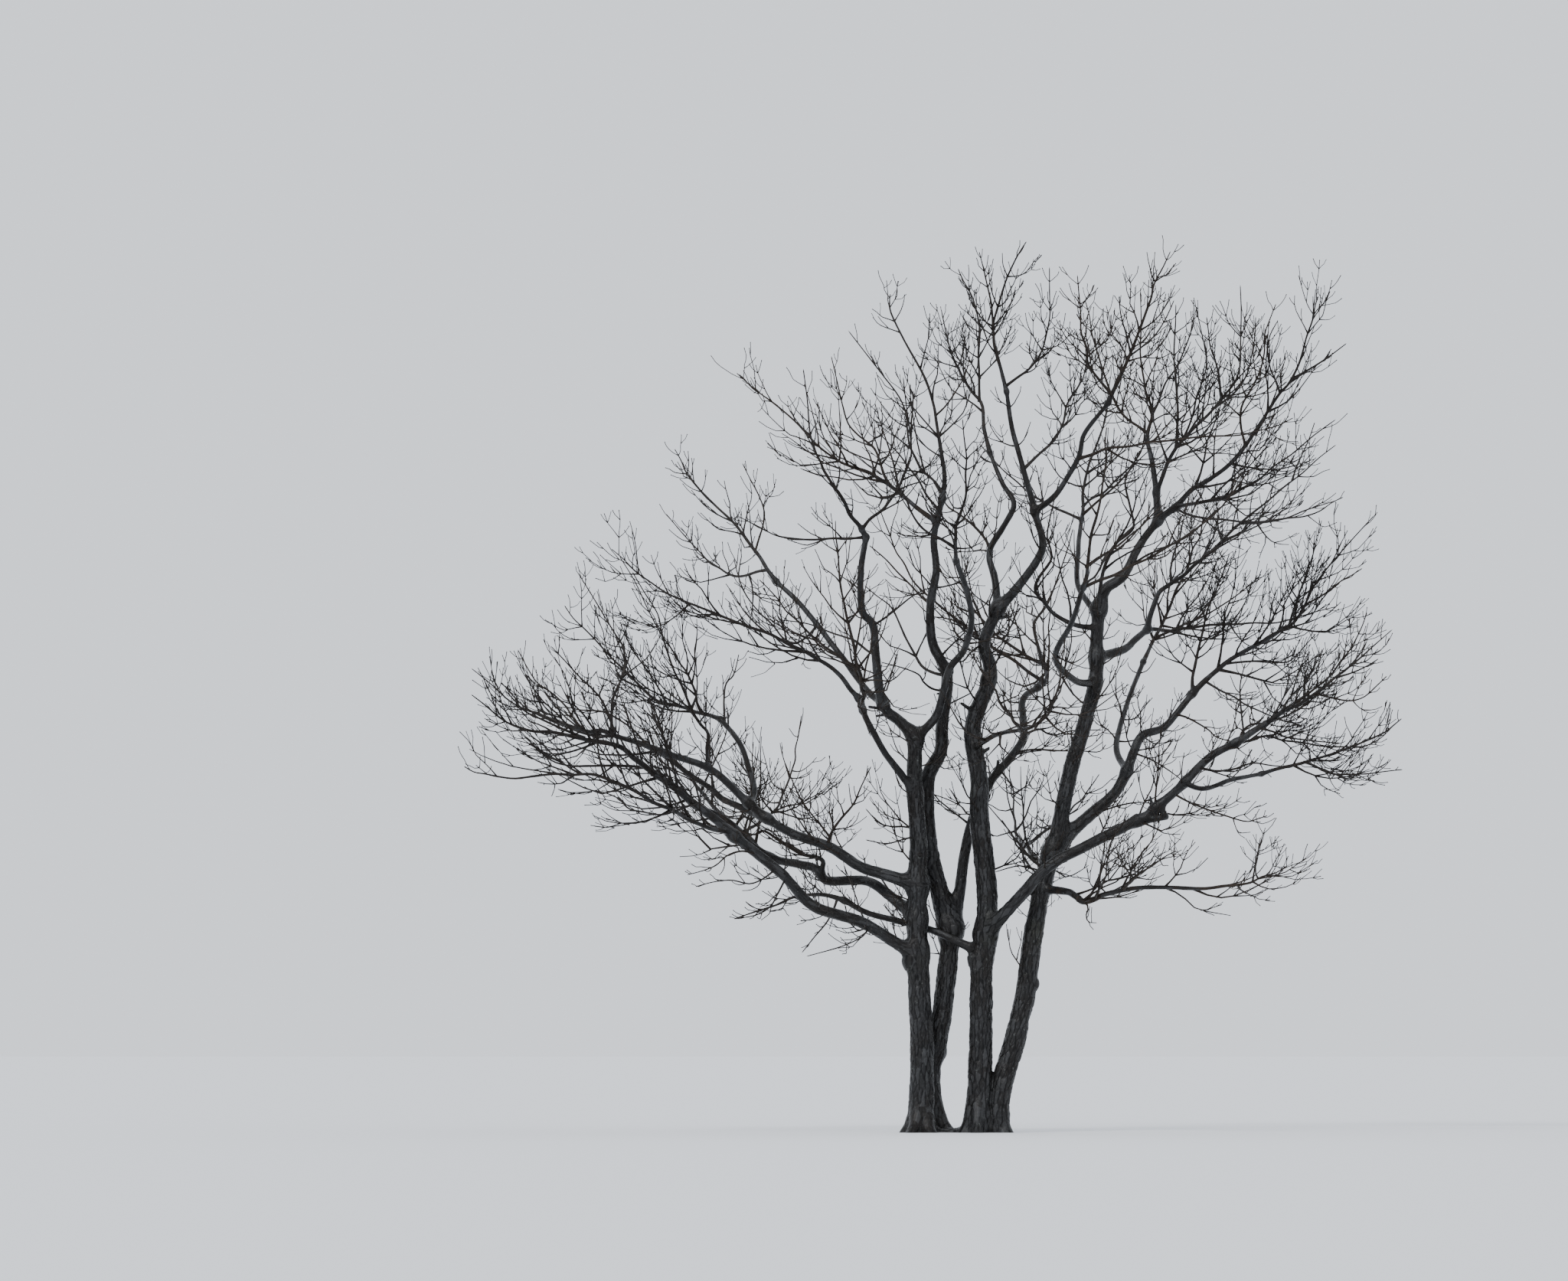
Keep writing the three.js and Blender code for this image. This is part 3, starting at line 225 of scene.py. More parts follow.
# Forks of those stems: spray, place on its stem, radius at the foot, route
FORKS = [
    ("spray_left_low", 0.1, 0.03, (-2.95, -1.15, 3.6), (-3.45, -1.55, 3.84), (-4.15, -1.9, 4.17),
     (-4.8, -2.2, 4.2), (-5.4, -2.4, 4.17), (-5.78, -2.5, 4.3)),
    ("spray_left_low", 3.6, 0.016, (-4.96, -1.4, 4.9), (-5.3, -1.3, 5.2)),
    ("spray_left_mid", 1, 0.02, (-2.1, 2, 3.8), (-1.9, 2.9, 4.3), (-1.8, 3.6, 4.9)),
    ("spray_left_high", 1, 0.021, (-4.03, 0, 5.05), (-3.88, 0.2, 5.55), (-4.02, 0.3, 5.9),
     (-4.45, 0.45, 6.6)),
    ("spray_left_rise", 0.6, 0.018, (-3.12, 0.8, 5.33), (-3.4, 0.75, 5.8), (-3.95, 0.7, 6.78)),
    ("spray_left_inner", 0.4, 0.014, (-1.75, -0.3, 3.82), (-2, -0.4, 4.35)),
    ("spray_left_hang", 0.2, 0.014, (-1.5, 0.35, 2.45), (-1.8, 0.45, 2.1)),
    ("spray_left_front", 1.5, 0.019, (-1.75, -2.8, 5.9), (-2.3, -3.6, 6.5)),
    ("spray_left_back", 0.4, 0.019, (-2.6, 1.6, 6.55), (-2.95, 2, 6.78), (-3.4, 2.4, 7.28)),
    ("spray_left_top", 0.25, 0.021, (-0.72, -1.4, 7.5), (-0.52, -1.6, 7.9), (-0.6, -1.9, 8.9)),
    ("spray_left_top", 0, 0.018, (-1.5, -1, 6.98), (-2.02, -0.9, 7), (-2.55, -0.8, 7.25)),
    ("spray_inner_reach", 1, 0.018, (-0.95, -0.1, 8.05), (-1.25, 0.2, 8.35), (-1.45, 0.4, 9.15)),
    ("spray_inner_top", 0.2, 0.018, (-0.5, -0.8, 8), (-0.62, -0.9, 8.6), (-1.25, -1.1, 9.45)),
    ("spray_front", 0.5, 0.02, (-0.4, -2.6, 7.15), (-0.75, -3.3, 7.8)),
    ("spray_rear_right", 1.2, 0.022, (0.6, 2.4, 5.75), (0.2, 3, 6.2), (-0.1, 3.6, 6.9)),
    ("spray_rear_right", 0.5, 0.022, (0.2, 1.9, 5.9), (-0.5, 2.4, 6.5), (-0.9, 2.8, 7.4)),
    ("spray_centre_left", 1, 0.017, (0.3, 1.2, 9.1), (0.25, 1.25, 9.75), (0.05, 1.3, 10.18)),
    ("spray_summit", 0.1, 0.017, (0.95, 0.2, 9.05), (1.1, 0.25, 9.45), (1.13, 0.3, 10.2)),
    ("spray_summit", 1.5, 0.014, (0.4, 0.2, 10), (0.3, 0.25, 10.38)),
    ("spray_centre_top", 0.3, 0.019, (1.62, -1, 9), (1.5, -1.3, 9.5), (1.46, -1.5, 10.1)),
    ("spray_right_under", 1, 0.014, (4.55, -2.2, 4.2), (5.26, -2.7, 4.25)),
    ("spray_right_foot", 3, 0.018, (2.2, -1.6, 3.05), (2.6, -2.4, 3.3)),
    ("spray_right_mid", 0, 0.022, (2.85, 0.85, 5.6), (3.02, 1, 6.2), (3.24, 1.1, 6.8)),
    ("spray_right_rear", 0.5, 0.017, (3, 2.9, 6.1), (3.6, 3.2, 6.5)),
    ("spray_right_inner", 0, 0.024, (2.6, 1.15, 5.9), (3.05, 1.5, 5.96), (3.7, 1.9, 5.97),
     (4.5, 2.3, 6.17)),
    ("spray_right_inner", 3.3, 0.017, (3.85, 2.1, 7.2), (4.5, 2.5, 7.42)),
    ("spray_right_front", 0.5, 0.018, (2, -2.9, 6.95), (2.5, -3.3, 7.4)),
    ("spray_right_front", 0, 0.02, (2.2, -2.1, 6.7), (3, -2.2, 7.2), (3.5, -2.4, 7.8)),
    ("spray_right_back", 0.3, 0.017, (2, 2.1, 7.75), (2.45, 2.6, 8.35)),
    ("spray_right_back", 0, 0.018, (0.9, 1.9, 7.5), (0.3, 2.4, 8.1)),
    ("spray_right_top", 3.9, 0.015, (4.3, 0.05, 9.03), (4.63, 0.1, 9.28)),
    ("spray_right_top", 0, 0.024, (3, -0.35, 7.42), (3.4, -0.65, 7.56), (3.75, -0.9, 7.8),
     (4.5, -1.3, 8.38)),
    ("spray_right_peak", 0.2, 0.019, (1.95, 0.8, 8.5), (1.7, 1, 9.2), (1.55, 1.2, 9.8)),
    ("spray_right_crest", 1, 0.018, (2.62, 0.15, 8.6), (2.6, 0.2, 9.2), (2.62, 0.2, 9.75)),
    ("spray_back_low", 1.6, 0.022, (1.3, 2.3, 3.7), (1.7, 3.3, 4.2)),
    ("spray_front_mid", 1.6, 0.022, (0.55, -2.4, 5.05), (0.25, -3.4, 5.6)),
]
# Buttresses: the stem, the bearing of the toe in degrees, and how far out it lies
BUTTRESSES = [
    ("stem_left", 185, 0.2), ("stem_left", 245, 0.3), ("stem_left", 300, 0.26),
    ("stem_rear", 350, 0.24), ("stem_rear", 60, 0.3), ("stem_rear", 125, 0.28),
    ("stem_centre", 205, 0.2), ("stem_centre", 265, 0.3), ("stem_centre", 95, 0.3),
    ("stem_right", 320, 0.22), ("stem_right", 55, 0.26),
]
# Side branches that are too slight for the part's solids: parent, place on it, radius at the foot,
# their share of the usual number of finer shoots, route
SIDE_BRANCHES = [
    ("bough_inner_up", 7.5, 0.02, 1, (-0.36, 0.1, 5.45), (-0.55, 0.3, 5.74), (-0.67, 0.5, 6.01),
     (-0.8, 0.7, 6.22), (-1.06, 0.95, 6.43)),
    ("bough_inner_up", 6.8, 0.015, 1, (-0.34, -0.25, 5.25), (-0.46, -0.4, 5.41), (-0.86, -0.75, 5.52)),
    ("bough_inner_up", 10, 0.015, 1, (-0.44, -0.1, 6.36), (-0.66, 0.1, 6.57), (-0.87, 0.3, 6.79),
     (-1, 0.45, 6.9)),
    ("bough_inner_up", 12.7, 0.016, 1, (-0.44, -0.75, 7.66), (-0.63, -0.95, 7.95), (-0.92, -1.2, 8.27)),
    ("stem_centre", 9, 0.014, 1, (0.14, -0.1, 5.6), (0.05, -0.25, 5.52), (-0.2, -0.45, 5.62)),
    ("bough_centre_left", 2, 0.019, 1, (0.31, 0.5, 7.06), (0.11, 0.7, 7.23), (-0.09, 0.95, 7.38),
     (-0.3, 1.2, 7.75)),
    ("bough_left_up", 3, 0.016, 0.6, (-1.13, -0.2, 5.74), (-1.36, 0, 5.83), (-1.73, 0.25, 5.99),
     (-2.04, 0.45, 6.02)),
    ("bough_left_up", 4, 0.013, 1, (-0.71, -0.75, 6.12), (-0.48, -0.95, 6.3), (-0.25, -1.15, 6.41)),
    ("spray_left_back", 1, 0.013, 1, (-2.24, 1.3, 7.3), (-2.5, 1.5, 7.88)),
    ("bough_left_rise", 2.8, 0.013, 1, (-2.7, 1, 5.2), (-2.59, 1.1, 5.4), (-2.54, 1.2, 5.62)),
    ("bough_left_high", 6.1, 0.022, 0.85, (-2.92, -0.3, 4.68), (-3.06, -0.45, 4.91), (-3.22, -0.6, 5.23),
     (-3.39, -0.75, 5.65), (-3.5, -0.85, 6.11), (-3.8, -0.95, 6.6)),
    ("spray_left_high", 0.3, 0.014, 0.8, (-3.93, -0.45, 4.85), (-4.39, -0.6, 4.98), (-4.71, -0.7, 4.99)),
    ("stem_left", 4.1, 0.012, 1, (-0.62, -0.15, 3.44), (-0.8, -0.25, 3.4), (-1.05, -0.35, 3.43)),
    ("stem_left", 4.2, 0.012, 1, (-0.68, 0.15, 3.6), (-0.85, 0.2, 3.6), (-1.05, 0.3, 3.8)),
    ("stem_centre", 3.95, 0.012, 1, (0.14, 0.22, 3.75), (0.05, 0.45, 3.85), (-0.36, 0.7, 4)),
    ("bough_left_low", 1.8, 0.012, 1, (-1.08, -0.3, 2.3), (-1.25, -0.4, 2.2), (-1.75, -0.65, 2.06)),
    ("bough_left_low", 3.85, 0.012, 1, (-2.12, -0.65, 2.75), (-2.25, -0.75, 2.57), (-2.6, -0.85, 2.5)),
    ("bough_left_low", 4.5, 0.013, 1, (-2.62, -0.95, 3.28), (-2.85, -1.05, 3.12), (-3.15, -1.1, 3.02)),
    ("bough_left_low", 4.1, 0.012, 1, (-2.35, -0.75, 2.92), (-2.7, -0.85, 2.96), (-3.05, -0.95, 2.88)),
    ("stem_right", 5, 0.012, 1, (0.86, -0.1, 3.12), (0.73, -0.18, 3.13), (0.47, -0.3, 3.05)),
    ("bough_centre_top", 2, 0.02, 0.6, (1.85, -0.55, 8.03), (2.25, -0.75, 8.1), (2.9, -0.95, 8.17),
     (3.5, -1.15, 8.22), (4, -1.3, 8.4)),
    ("bough_centre_right", 5, 0.019, 1, (1.21, 0.3, 8.19), (1.36, 0.45, 8.63), (1.52, 0.6, 8.85),
     (1.6, 0.75, 9.3)),
    ("stem_right", 10, 0.024, 0.5, (1.76, -0.05, 6.6), (1.92, -0.25, 6.94), (2.12, -0.4, 7.14),
     (2.02, -0.5, 7.65), (2.22, -0.6, 8), (2.25, -0.7, 8.5)),
    ("bough_right_low", 5.75, 0.013, 1, (2.94, -0.75, 3.8), (3.42, -0.95, 3.64), (3.67, -1.05, 3.71)),
    ("spray_right_low", 0.2, 0.012, 1, (3.36, -0.95, 5.2), (3.42, -1.05, 5.5)),
    ("spray_right_low", 0.5, 0.014, 1, (4, -1, 4.62), (4.53, -1.2, 4.56)),
    ("spray_inner_top", 2.4, 0.012, 1, (-0.05, -0.9, 8.6), (0.1, -1, 8.85), (0.19, -1.05, 9.15)),
    ("bough_left_high", 4.6, 0.042, 0.45, (-2.6, 0.1, 3.86), (-2.88, 0.15, 4.03), (-3.2, 0.2, 4.27),
     (-3.55, 0.25, 4.5), (-3.9, 0.3, 4.62), (-4.5, 0.4, 4.73), (-5, 0.5, 4.95), (-5.35, 0.5, 5.3)),
    ("spray_left_mid", 0.05, 0.038, 0.5, (-2.42, 0.75, 3.42), (-2.72, 0.7, 3.68), (-3.05, 0.6, 3.84),
     (-3.3, 0.5, 4.03), (-3.62, 0.45, 4.28), (-4.3, 0.4, 4.3), (-4.75, 0.35, 4.36), (-5.15, 0.3, 4.75)),
    ("bough_left_mid", 3.6, 0.03, 1, (-1.56, 0.4, 3.22), (-1.85, 0.35, 3.27), (-2.2, 0.3, 3.52),
     (-2.45, 0.3, 3.5), (-2.8, 0.2, 3.77)),
    ("spray_left_low", 0.9, 0.014, 0.8, (-3.4, -1.3, 3.76), (-3.75, -1.45, 3.75), (-4, -1.55, 3.95),
     (-4.3, -1.6, 4.02)),
    ("bough_right_low", 7.2, 0.016, 1, (3.5, -0.5, 4.62), (3.85, -0.6, 4.6), (4.3, -0.8, 4.54),
     (4.8, -1, 4.53), (5.12, -1.2, 4.73)),
    ("bough_right_mid", 5.4, 0.014, 1, (2.75, 0.45, 4.86), (2.97, 0.3, 4.72), (3.1, 0.2, 4.63),
     (3.3, 0.1, 4.57)),
    ("spray_right_mid", 0.4, 0.014, 1, (3.25, 0.5, 5.12), (3.5, 0.3, 4.97), (3.75, 0.1, 4.88),
     (4.1, 0, 4.76)),
    ("spray_right_mid", 1, 0.013, 1, (3.55, 1, 5.53), (3.9, 1.15, 5.52), (4.1, 1.25, 5.65),
     (4.25, 1.3, 5.85)),
    ("spray_right_low", 2.3, 0.012, 1, (4.5, -1, 5.07), (4.72, -1.1, 5.07), (4.92, -1.2, 5.2),
     (5.08, -1.3, 5.35)),
    ("bough_right_top", 4.9, 0.016, 0.5, (2.95, 0.45, 7.22), (3.4, 0.65, 7.17), (3.9, 0.8, 7.2),
     (4.3, 0.9, 7.28), (4.58, 1, 7.46)),
    ("bough_right_top", 2.4, 0.014, 0.5, (2.45, -0.05, 6.87), (2.78, -0.2, 7.02), (3.1, -0.3, 7.3),
     (3.4, -0.4, 7.45)),
    ("spray_right_back", 0.1, 0.016, 0.7, (1.85, 1.4, 7.55), (2.1, 1.3, 7.83), (2.3, 1.25, 8.02)),
    ("bough_right_back", 0.9, 0.016, 0.4, (1.62, 0.85, 6.5), (1.72, 0.9, 6.65), (1.9, 1, 6.93),
     (2.18, 1.1, 7.17), (2.35, 1.2, 7.35)),
    ("bough_rear_right", 5.15, 0.015, 1, (1.04, 0.75, 4.74), (1.13, 0.8, 4.65), (1.32, 0.85, 4.71),
     (1.75, 0.9, 4.72)),
    ("bough_rear_right", 4.65, 0.013, 1, (1, 0.45, 4.49), (1.35, 0.42, 4.48), (1.65, 0.4, 4.47),
     (1.78, 0.35, 4.55)),
    ("bough_rear_right", 4.1, 0.012, 1, (0.67, 0.35, 4.1), (0.7, 0.3, 3.95), (0.79, 0.25, 3.82)),
    ("bough_right_mid", 1.2, 0.014, 1, (1.8, 0.1, 3.78), (2.1, 0, 3.86), (2.35, -0.1, 3.85)),
    ("bough_right_mid", 3, 0.012, 1, (2.3, 0.35, 4.38), (2.5, 0.25, 4.25), (2.68, 0.1, 4.12)),
    ("spray_right_crest", 2, 0.015, 1, (3.35, 0.15, 8.75), (3.52, 0.25, 9.15), (3.56, 0.3, 9.6)),
    ("spray_right_crest", 2.3, 0.014, 1, (3.1, -0.35, 9), (3.02, -0.45, 9.3), (2.98, -0.55, 9.6)),
    ("spray_right_low", 1.4, 0.014, 1, (4.45, -0.6, 5.4), (4.68, -0.5, 5.72), (4.85, -0.4, 6.1)),
    ("spray_right_low", 2.8, 0.012, 1, (4.75, -1, 5.42), (4.98, -1.05, 5.55)),
    ("spray_right_crest", 1.2, 0.014, 1, (2.86, 0.35, 8.6), (2.95, 0.45, 9.1), (2.86, 0.5, 9.72)),
    ("spray_right_mid", 3.4, 0.012, 1, (4.55, 0.9, 6.45), (4.8, 0.95, 6.62)),
    ("spray_right_inner", 4.2, 0.012, 1, (4.1, 1.9, 7.95), (4.25, 2, 8.35)),
    ("spray_right_top", 3.4, 0.013, 1, (3.74, 0.15, 8.95), (3.7, 0.25, 9.25), (3.82, 0.3, 9.55)),
    ("spray_right_top", 2.2, 0.015, 0.8, (3.4, -0.25, 8.55), (3.62, -0.35, 8.95), (3.66, -0.4, 9.4),
     (3.8, -0.45, 9.75)),
    ("spray_right_peak", 0.8, 0.014, 1, (2.5, 0.55, 8.8), (2.72, 0.5, 9.2), (2.86, 0.45, 9.7)),
    ("spray_left_high", 0.9, 0.016, 1, (-4.15, -0.15, 5.08), (-4.42, 0, 5.36), (-4.76, 0.1, 5.72)),
    ("spray_left_high", 1.9, 0.014, 1, (-4.6, -0.2, 5.02), (-4.92, -0.1, 5.3), (-5.15, 0, 5.68)),
    ("bough_left_back", 2.6, 0.015, 1, (-1.85, 0.35, 5.75), (-2.15, 0.2, 5.95), (-2.45, 0.1, 6.32),
     (-2.6, 0.05, 6.75)),
    ("bough_right_low", 6.6, 0.018, 1, (3.1, -0.9, 4.24), (3.5, -1.15, 4.3), (3.95, -1.35, 4.28)),
    ("spray_right_low", 0.1, 0.016, 1, (3.45, -0.45, 4.76), (3.8, -0.3, 4.84), (4.2, -0.2, 5.08)),
    ("spray_centre_top", 1.3, 0.012, 1, (2.4, -0.55, 9.4), (2.6, -0.6, 9.8)),
    ("spray_centre_top", 1.4, 0.012, 1, (1.99, -0.85, 9.5), (1.95, -0.95, 9.85)),
]

# Dead stubs, broken short: the limb, the place on it, how far the stub goes in X, Y and Z, and its radius
STUBS = [
    ("bough_left_up", 1.8, (-0.2, -0.02, 0.03), 0.02), ("bough_left_up", 1.55, (-0.16, 0.03, -0.02), 0.017),
    ("bough_inner_up", 7.6, (0.03, -0.12, 0.06), 0.024), ("stem_centre", 6.3, (-0.17, 0.02, 0.12), 0.022),
    ("stem_centre", 5.45, (0.16, -0.03, 0.09), 0.024), ("bough_rear_right", 4, (0.01, -0.02, 0.14), 0.019),
    ("stem_centre", 9.7, (0.22, -0.05, 0.03), 0.016), ("bough_inner_up", 6.7, (-0.11, -0.05, 0.02), 0.016),
    ("bough_right_low", 5.15, (-0.04, -0.04, 0.17), 0.018),
    ("bough_right_low", 4.4, (0.33, -0.05, 0.04), 0.042),
    ("bough_right_low", 5.35, (0.06, -0.05, -0.12), 0.036), ("stem_right", 4.4, (-0.16, -0.03, 0.07), 0.02),
    ("stem_left", 1.35, (0.02, 0.13, 0.05), 0.03), ("stem_rear", 3.4, (0.06, 0.16, 0.07), 0.026),
    ("stem_left", 3.75, (0.03, -0.13, 0.05), 0.024),
]
STUB_RADII = (1.5, 1.1, 1, 0.9, 0.8)  # from the foot on, as shares of the radius

# Burls: the limb, the place on it, the way they stand out, and their radius
BURLS = [
    ("bough_right_low", 5.2, (0.1, -0.35, 0.93), 0.062), ("stem_left", 2.05, (-0.9, -0.2, -0.3), 0.1),
    ("stem_centre", 2.3, (-0.9, 0.1, -0.2), 0.09), ("stem_right", 3.2, (0.9, -0.2, 0.2), 0.06),
    ("bough_inner_up", 7.8, (0.5, -0.6, 0.6), 0.055), ("stem_centre", 7.2, (-0.6, -0.7, 0.1), 0.06),
    ("stem_rear", 1.5, (0.5, 0.85, 0.1), 0.085), ("bough_left_high", 5.0, (-0.2, -0.5, 0.8), 0.045),
]
BURL_RADII = (0.8, 1, 0.8)  # along the limb, as shares of the radius
BURL_SUNK = 0.45  # how deep a burl's middle lies under the limb's surface, as such a share
BURL_HALF = 0.25  # and its half length

# The growth rule, with the part's own values first
ANGLE_SPREAD = (0.75, 1.25)
LENGTH_SPREAD = (0.65, 1.25)
LIFT_SPREAD = (0.6, 1.4)
SHORTER_AHEAD = 0.62  # how much shorter shoots are at their parent's end than at its foot
UNDERSIDE = 0.3  # how much shoots on their parent's underside still point down
FOLLOW = 0.25  # how far a shoot's outer half turns along its parent
SHOOT_SHARE = 0.72  # a shoot's greatest radius, as a share of its parent's there
GOLDEN_ANGLE = 2.39996
OWN_SPACE = 0.05  # metres that a shoot lies nearer to its own spray's stems than to any other's
LIMB_GAP = 0.03  # metres between the part's own shoots and any limb
SOURCE_RULES = [
    dict(spacing=1.15, share=0.34, longest=1.15, shortest=0.16, bare=0.16, angle=0.75, lift=0.34),
    dict(spacing=1.1, share=0.5, longest=0.6, shortest=0.16, bare=0.25, angle=0.7, lift=0.26),
]
# Finer shoots: between the part's own on the spray stems, on the boughs, and then on every shoot
FILL_STEMS = dict(spacing=0.26, share=0.46, longest=1.15, shortest=0.12, bare=0.12, angle=0.8, lift=0.6,
                  shorter=0.74)
FILL_BOUGHS = dict(spacing=0.42, share=0.36, longest=0.8, shortest=0.2, bare=0.3, angle=1.0, lift=0.8)
FILL_SHOOTS = dict(spacing=0.27, share=0.68, longest=0.6, shortest=0.14, bare=0.16, angle=0.72, lift=0.45,
                   shorter=0.6)
FINEST = dict(spacing=0.27, share=0.66, longest=0.28, shortest=0.12, bare=0.3, angle=0.62, lift=0.34)
# The share of the finer shoots that is kept: in the shade in the middle of the crown, and out at its edge
SHADE_MIDDLE = (-1.5, 6.6)  # seen from the front, X and Z
SHADE_REACH = (4.6, 3.4)
KEPT = (0.42, 1.0)
# Limbs with fewer finer shoots than the rest, or more, as a share of the usual number
SPARSE = {
    "spray_left_low": 0.62, "spray_left_mid": 0.75, "spray_left_high": 0.7, "spray_left_rise": 0.85,
    "spray_left_top": 0.8, "spray_left_front": 0.85, "spray_inner_reach": 0.72, "spray_inner_top": 0.7,
    "spray_rear_right": 0.5, "spray_front": 0.85, "spray_front_mid": 0.5, "spray_right_top": 0.68,
    "spray_right_crest": 0.7, "spray_right_inner": 0.45, "spray_right_mid": 0.85, "spray_right_rear": 0.65,
    "spray_right_back": 0.6, "spray_right_front": 0.45, "spray_right_heart": 0.45, "spray_right_foot": 0.65,
    "spray_back_low": 0.3, "bough_right_back": 0.4, "bough_right_top": 0.7, "bough_centre_top": 0.7,
    "bough_rear_right": 0.8, "bough_right_front": 0.6, "bough_inner_front": 0.8, "bough_right_low": 1.6,
    "bough_left_high": 1.3, "bough_left_low": 1.3, "bough_left_mid": 1.3, "bough_right_under": 1.3,
}
# Limbs that are drawn thicker than the part's solids
THICKER = {"spray_right_foot": 1.35, "bough_centre_low": 1.2}
WANDER = 0.02  # how far a shoot strays from its smooth curve, as a share of its length
SHOOT_BENDS = 3  # places between a shoot's ends that stray
LIMB_WANDER = 0.009  # metres that a spray's stem strays
LIMB_WANDER_STEP = 0.22
# Where a shoot is tested, as shares of its length: the part's own shoots, and the finer ones
OWN_TESTS = (0.35, 0.7, 1.0)
FINE_TESTS = (0.5, 0.75, 1.0)
FINE_ROOM = 0.8  # the share of a limb's radius that finer shoots keep out of

# Thickness: radius at the foot for a shoot's length, the least radius, and the radius below its bud
SHOOT_FOOT = (0.0055, 0.0135)
TWIG_THINNEST = 0.0053
TWIG_TIP = 0.0044
BUD_LENGTH = 0.02
BUD_LIMIT = 0.25  # as a share of its shoot
BUD_RADIUS = 0.006
COLLAR = 0.4  # how much a branch swells where it leaves its parent
COLLAR_LENGTH = 3  # as a number of its radii
KNOTS = 0.05  # how much a branch's radius varies, as a share of it

# Sky that shows through the crown from the front: left, right, bottom and top
SKY_GAPS = [
    (-2.25, -1.1, 4.45, 5.25), (-0.2, 0.05, 2.6, 3.4), (0.45, 0.95, 3.75, 4.0), (-0.62, -0.4, 5.3, 6.2),
    (1.75, 4.4, 2.0, 2.62),
]

# Branches and twigs
FIRST_SIDE = np.array((0.31, 0.17, 0.93))
TONES = 3
LEFT_SIDE = -0.9
RIGHT_SIDE = 1.0
BRANCH_RING = 0.06
BRANCH_RINGS = 6  # at least
BRANCH_SIDES = 8
FIRST_SHAPE = (5, 6)  # each level's number of sides, and of rings below the bud after the first
SECOND_SHAPE = (4, 3)
THIRD_SHAPE = (3, 2)

# Bark
WOOD_STEP = 0.05
WOOD_STEPS = 4  # at least
WOOD_MARGIN = 0.12
WOOD_SIDES = 12
WOOD_TIP = 0.8  # how far a rough tube runs on to its tip, in radii
DIVE = (0.85, 0.4)  # how a branch's last two radii narrow, where its thinner part carries on
SHORTEST_WOOD = 0.06  # as a share of the branch
FAR = 9.0  # more than any gap
NO_RADIUS = 0.01  # stands for the second radius where there is no second wood
BARK_THINNEST = 0.02  # radius below which a branch has no relief
BARK_CUT = 3.3  # height where the lower bark pieces end
BARK_TOP = 20.0
LOWER_VOXEL = 0.0115
UPPER_VOXEL = 0.015
NEAR_WOOD = 0.1  # metres past a cut within which wood still counts
NEAR_FACE = 0.05  # and within which faces stay until they are cut
CROOK_LENGTH = 0.5  # a bough strays from its smooth course in bends of about this length
CROOK_SHARE = 0.22  # by this share of its radius
CROOK_LIMIT = 0.012
CROOK_SEEDS = (11, 12, 13)
SETTLE_STEPS = 4
SETTLE_LIMIT = 0.02  # metres of gap that one step closes at most
SETTLE_SLOPE = 0.3  # the least slope that a step reckons with
FILLET = 1.5  # size of the fillet where a limb leaves its parent, in radii of the thinner one
FILLET_LIMITS = (0.02, 0.16)
NO_FILLET = 1e-5
PAIRS = {"stem_left": "left", "stem_rear": "left", "stem_centre": "right", "stem_right": "right"}
# The low saddle of wood between the pairs: the stem that each half goes with, its end, and where they meet
SADDLE_ENDS = {"left": ("stem_left", (-0.3, 0.06, -0.03)), "right": ("stem_centre", (0.3, 0, -0.03))}
SADDLE_MIDDLE = (0, 0.03, -0.03)
BUTTRESS_KNEE = 0.55  # where a buttress bends, on the way from its top to its toe
BUTTRESS_DROP = 0.62  # the height of that bend, as a share of the straight line's
BUTTRESS_TOP = 0.6  # radius at the top, as a share of the toe's
BUTTRESS_RINGS = 9

# The bark's relief
PLATE_WIDTH = 0.042
PLATE_ASPECT = 3.4
PLATE_JITTER = 0.9
FEWEST_PLATES = 4
CRACK_EDGE = (0.02, 0.4)  # from a crack's middle to the plate's full height, in plate widths
CROSS_CRACK = (0.25, 1.0)  # depth of a crack across the limb, and of one along it
RELIEF_DEPTH = 0.0095
FULL_RELIEF = 0.12  # the radius of wood whose relief has its full depth
RELIEF_POWER = 1.25
RELIEF_LIMITS = (0.06, 1.1)
FILLET_RELIEF = 0.6  # how much of it a fillet smooths away
PLATE_LEVEL = 0.7  # the share of its depth that lies under the wood's surface
PLATE_STEPS = 0.5  # how much plates differ in height
CRACK_SHADE_GAIN = 1.6  # how dark the painted shade in cracks is for the relief's depth there, and the least and most
CRACK_SHADE_LIMITS = (0.25, 1)
GRAIN_STRETCH = 0.3
GRAIN_SHIFT = 1.7  # from one limb to the next
# Waves: how strong, how long in metres, and their seed. Swells and dents are as shares of the limb's radius.
WAVES = 6
WAVE_SPREAD = (0.7, 1.4)
ROW_BENDS = (0.35, 0.16, 3)
COLUMN_BENDS = (0.2, 0.09, 4)
ROUGHNESS = (0.35, 0.035, 5)
SWELLS = (0.06, 0.32, 6)
DENTS = (0.05, 0.13, 7)

